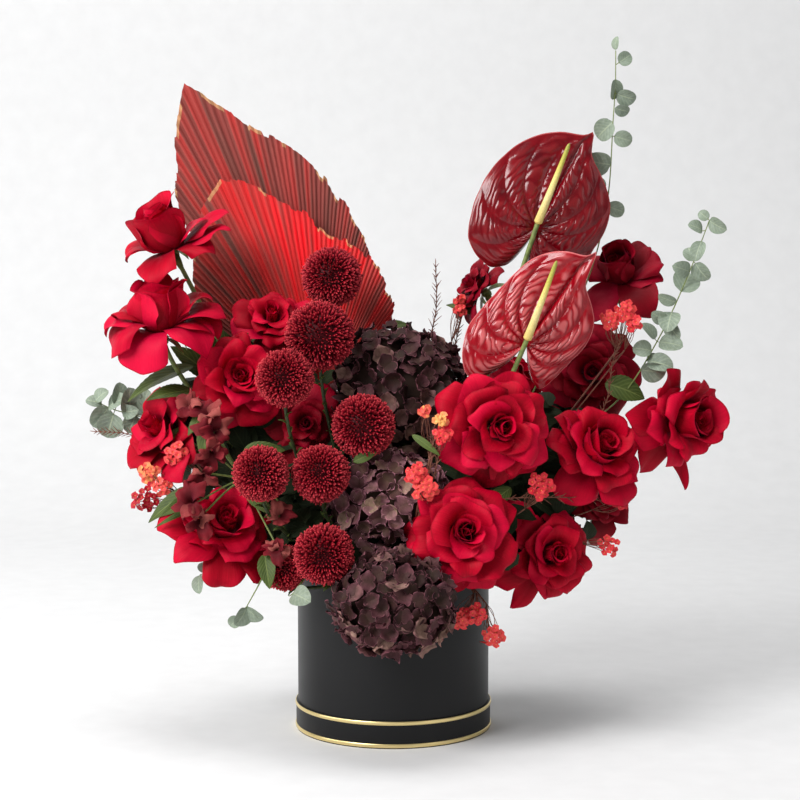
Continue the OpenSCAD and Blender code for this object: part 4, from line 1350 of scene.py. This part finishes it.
def make_trims():
    """Gold beads round the lid's band: a rounded strip of foil with a crease along its middle."""
    for node in ("lid_trim_upper", "lid_trim_lower"):
        low, high = (v * 1000 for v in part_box(node))
        a, b = around(256), np.linspace(0, math.pi, 13)[:, None]
        crease = 0.06 * np.exp(-(((b - 1.4) / 0.12) ** 2))
        radius = high.x - BEAD + BEAD * np.sin(b) ** 0.6 - crease
        z = (low.z + high.z) / 2 - (high.z - low.z) / 2 * np.cos(b)
        p = np.stack([radius * np.cos(a), radius * np.sin(a), z + 0 * a], -1)
        build = Build()
        build.grid(np.concatenate([p, p[:1]]), a / 6.28, wrap=True)
        build.piece(node + "_bead", MATERIALS["gold"], [node], "gold_trim", body="lid")


def dress_cad():
    """Materials of the CAD pieces that are shown as they are."""
    shown = {
        "card": ["lid_panel", "lid_band", "box_wall", "box_floor"],
        "liner": ["liner"],
        "foam": ["foam"],
        "stem": ["hydrangea_stems", "anthurium_stems"],
        "palm_stem": ["palm_stems"],
    }
    for material, nodes in shown.items():
        for node in nodes:
            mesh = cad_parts[node].data
            mesh.materials.clear()
            mesh.materials.append(MATERIALS[material])


def see_through_back(material):
    """Lets a camera behind the paper look through it."""
    tree = material.node_tree
    output = next(node for node in tree.nodes if node.type == "OUTPUT_MATERIAL")
    paper = output.inputs[0].links[0].from_socket
    kinds = ("NewGeometry", "BsdfTransparent", "MixShader")
    side, clear, mix = (tree.nodes.new("ShaderNode" + kind) for kind in kinds)
    for k, socket in enumerate((side.outputs["Backfacing"], paper, clear.outputs[0])):
        tree.links.new(socket, mix.inputs[k])
    tree.links.new(mix.outputs[0], output.inputs[0])


# The studio paper: how far it reaches, where its bend starts, the bend's radius and its top.
PAPER_REACH, BEND_Y, BEND_RADIUS, PAPER_TOP = 20000, 1200, 800, 5000


def make_stage():
    """A pale floor that curves up into a pale backdrop."""
    greys = (0.70, 0.70, 0.70), (0.74, 0.74, 0.74)
    white = plain_material("studio_paper", *greys, 0.8, 30, 0.0001, 0.1)
    floor = [(y, 0.0) for y in np.linspace(-PAPER_REACH, BEND_Y, 9)]
    angle = np.radians(np.linspace(0, 90, 13))[1:]
    bend = [(BEND_Y + BEND_RADIUS * math.sin(a), BEND_RADIUS * (1 - math.cos(a))) for a in angle]
    wall = [(BEND_Y + BEND_RADIUS, z) for z in np.linspace(1200, PAPER_TOP, 6)]
    profile = np.array(floor + bend + wall)
    x = np.linspace(-PAPER_REACH, PAPER_REACH, 13)[None, :]
    p = np.stack([x + 0 * profile[:, :1], profile[:, :1] + 0 * x, profile[:, 1:] + 0 * x], -1)
    build = Build()
    build.grid(p, flip=True)
    see_through_back(white)
    build.made("studio", white)


# Each lamp's place, the point it shines at, its size and power, in metres and watts.
LAMPS = {
    "key": [(-1.9, -2.0, 2.1), (0, 0, 0.35), 1.7, 111],
    "side": [(-2.6, -0.6, 0.9), (0, 0, 0.25), 1.0, 17],
    "fill": [(2.4, -2.4, 1.2), (0, 0, 0.35), 1.8, 8],
    "top": [(0.0, -0.2, 2.8), (0, -0.3, 0.0), 1.4, 34],
    "backdrop": [(-1.5, 0.9, 2.2), (-0.6, 2.0, 0.7), 1.5, 2.5],
    "rear": [(-0.8, 1.7, 1.9), (0, 0, 0.35), 1.4, 6],
}
# How bright the air is to surfaces, and how much brighter to the camera.
AIR, AIR_SEEN = 0.26, 0.50


def make_lights():
    """Soft lamps and pale air, as in a product photo."""
    for name, (place, target, size, power) in LAMPS.items():
        data = bpy.data.lights.new(name, "AREA")
        data.shape, data.size, data.energy = "DISK", size, power
        lamp = bpy.data.objects.new(name, data)
        lamp.location = place
        lamp.rotation_euler = (Vector(target) - Vector(place)).to_track_quat("-Z", "Y").to_euler()
        bpy.context.scene.collection.objects.link(lamp)
    world = bpy.data.worlds.new("studio_air")
    world.use_nodes = True
    background = world.node_tree.nodes["Background"]
    background.inputs[0].default_value = (0.97, 0.98, 1.0, 1)
    ray = world.node_tree.nodes.new("ShaderNodeLightPath")
    strength = world.node_tree.nodes.new("ShaderNodeMath")
    strength.operation = "MULTIPLY_ADD"
    strength.inputs[1].default_value = AIR_SEEN
    strength.inputs[2].default_value = AIR
    world.node_tree.links.new(ray.outputs["Is Camera Ray"], strength.inputs[0])
    world.node_tree.links.new(strength.outputs[0], background.inputs[1])
    bpy.context.scene.world = world


# The photo's view: the eye in metres, degrees down and to the right, the lens in millimetres.
EYE, DOWN, RIGHT, LENS = (-0.008, -2.100, 0.543), 5.445, 0.412, 91.35


def make_camera():
    """A camera at the place that the photo was taken from."""
    data = bpy.data.cameras.new("camera")
    data.lens, data.sensor_width = LENS, 36
    data.clip_start, data.clip_end = 0.05, 50
    camera = bpy.data.objects.new("camera", data)
    camera.location = EYE
    camera.rotation_euler = Euler((math.radians(90 - DOWN), 0, math.radians(-RIGHT)))
    bpy.context.scene.collection.objects.link(camera)
    bpy.context.scene.camera = camera


makers = [
    make_camera, dress_cad, make_trims, make_roses, make_calyxes, make_stems, make_mums,
    make_hydrangeas, make_anthuriums, make_palms, make_eucalyptus, make_coral, make_twigs,
    make_leaves, make_filler, make_florets, make_stage, make_lights,
]
for make in makers:
    make()
view_settings = bpy.context.scene.view_settings
view_settings.view_transform = "Standard"
view_settings.look = "None"
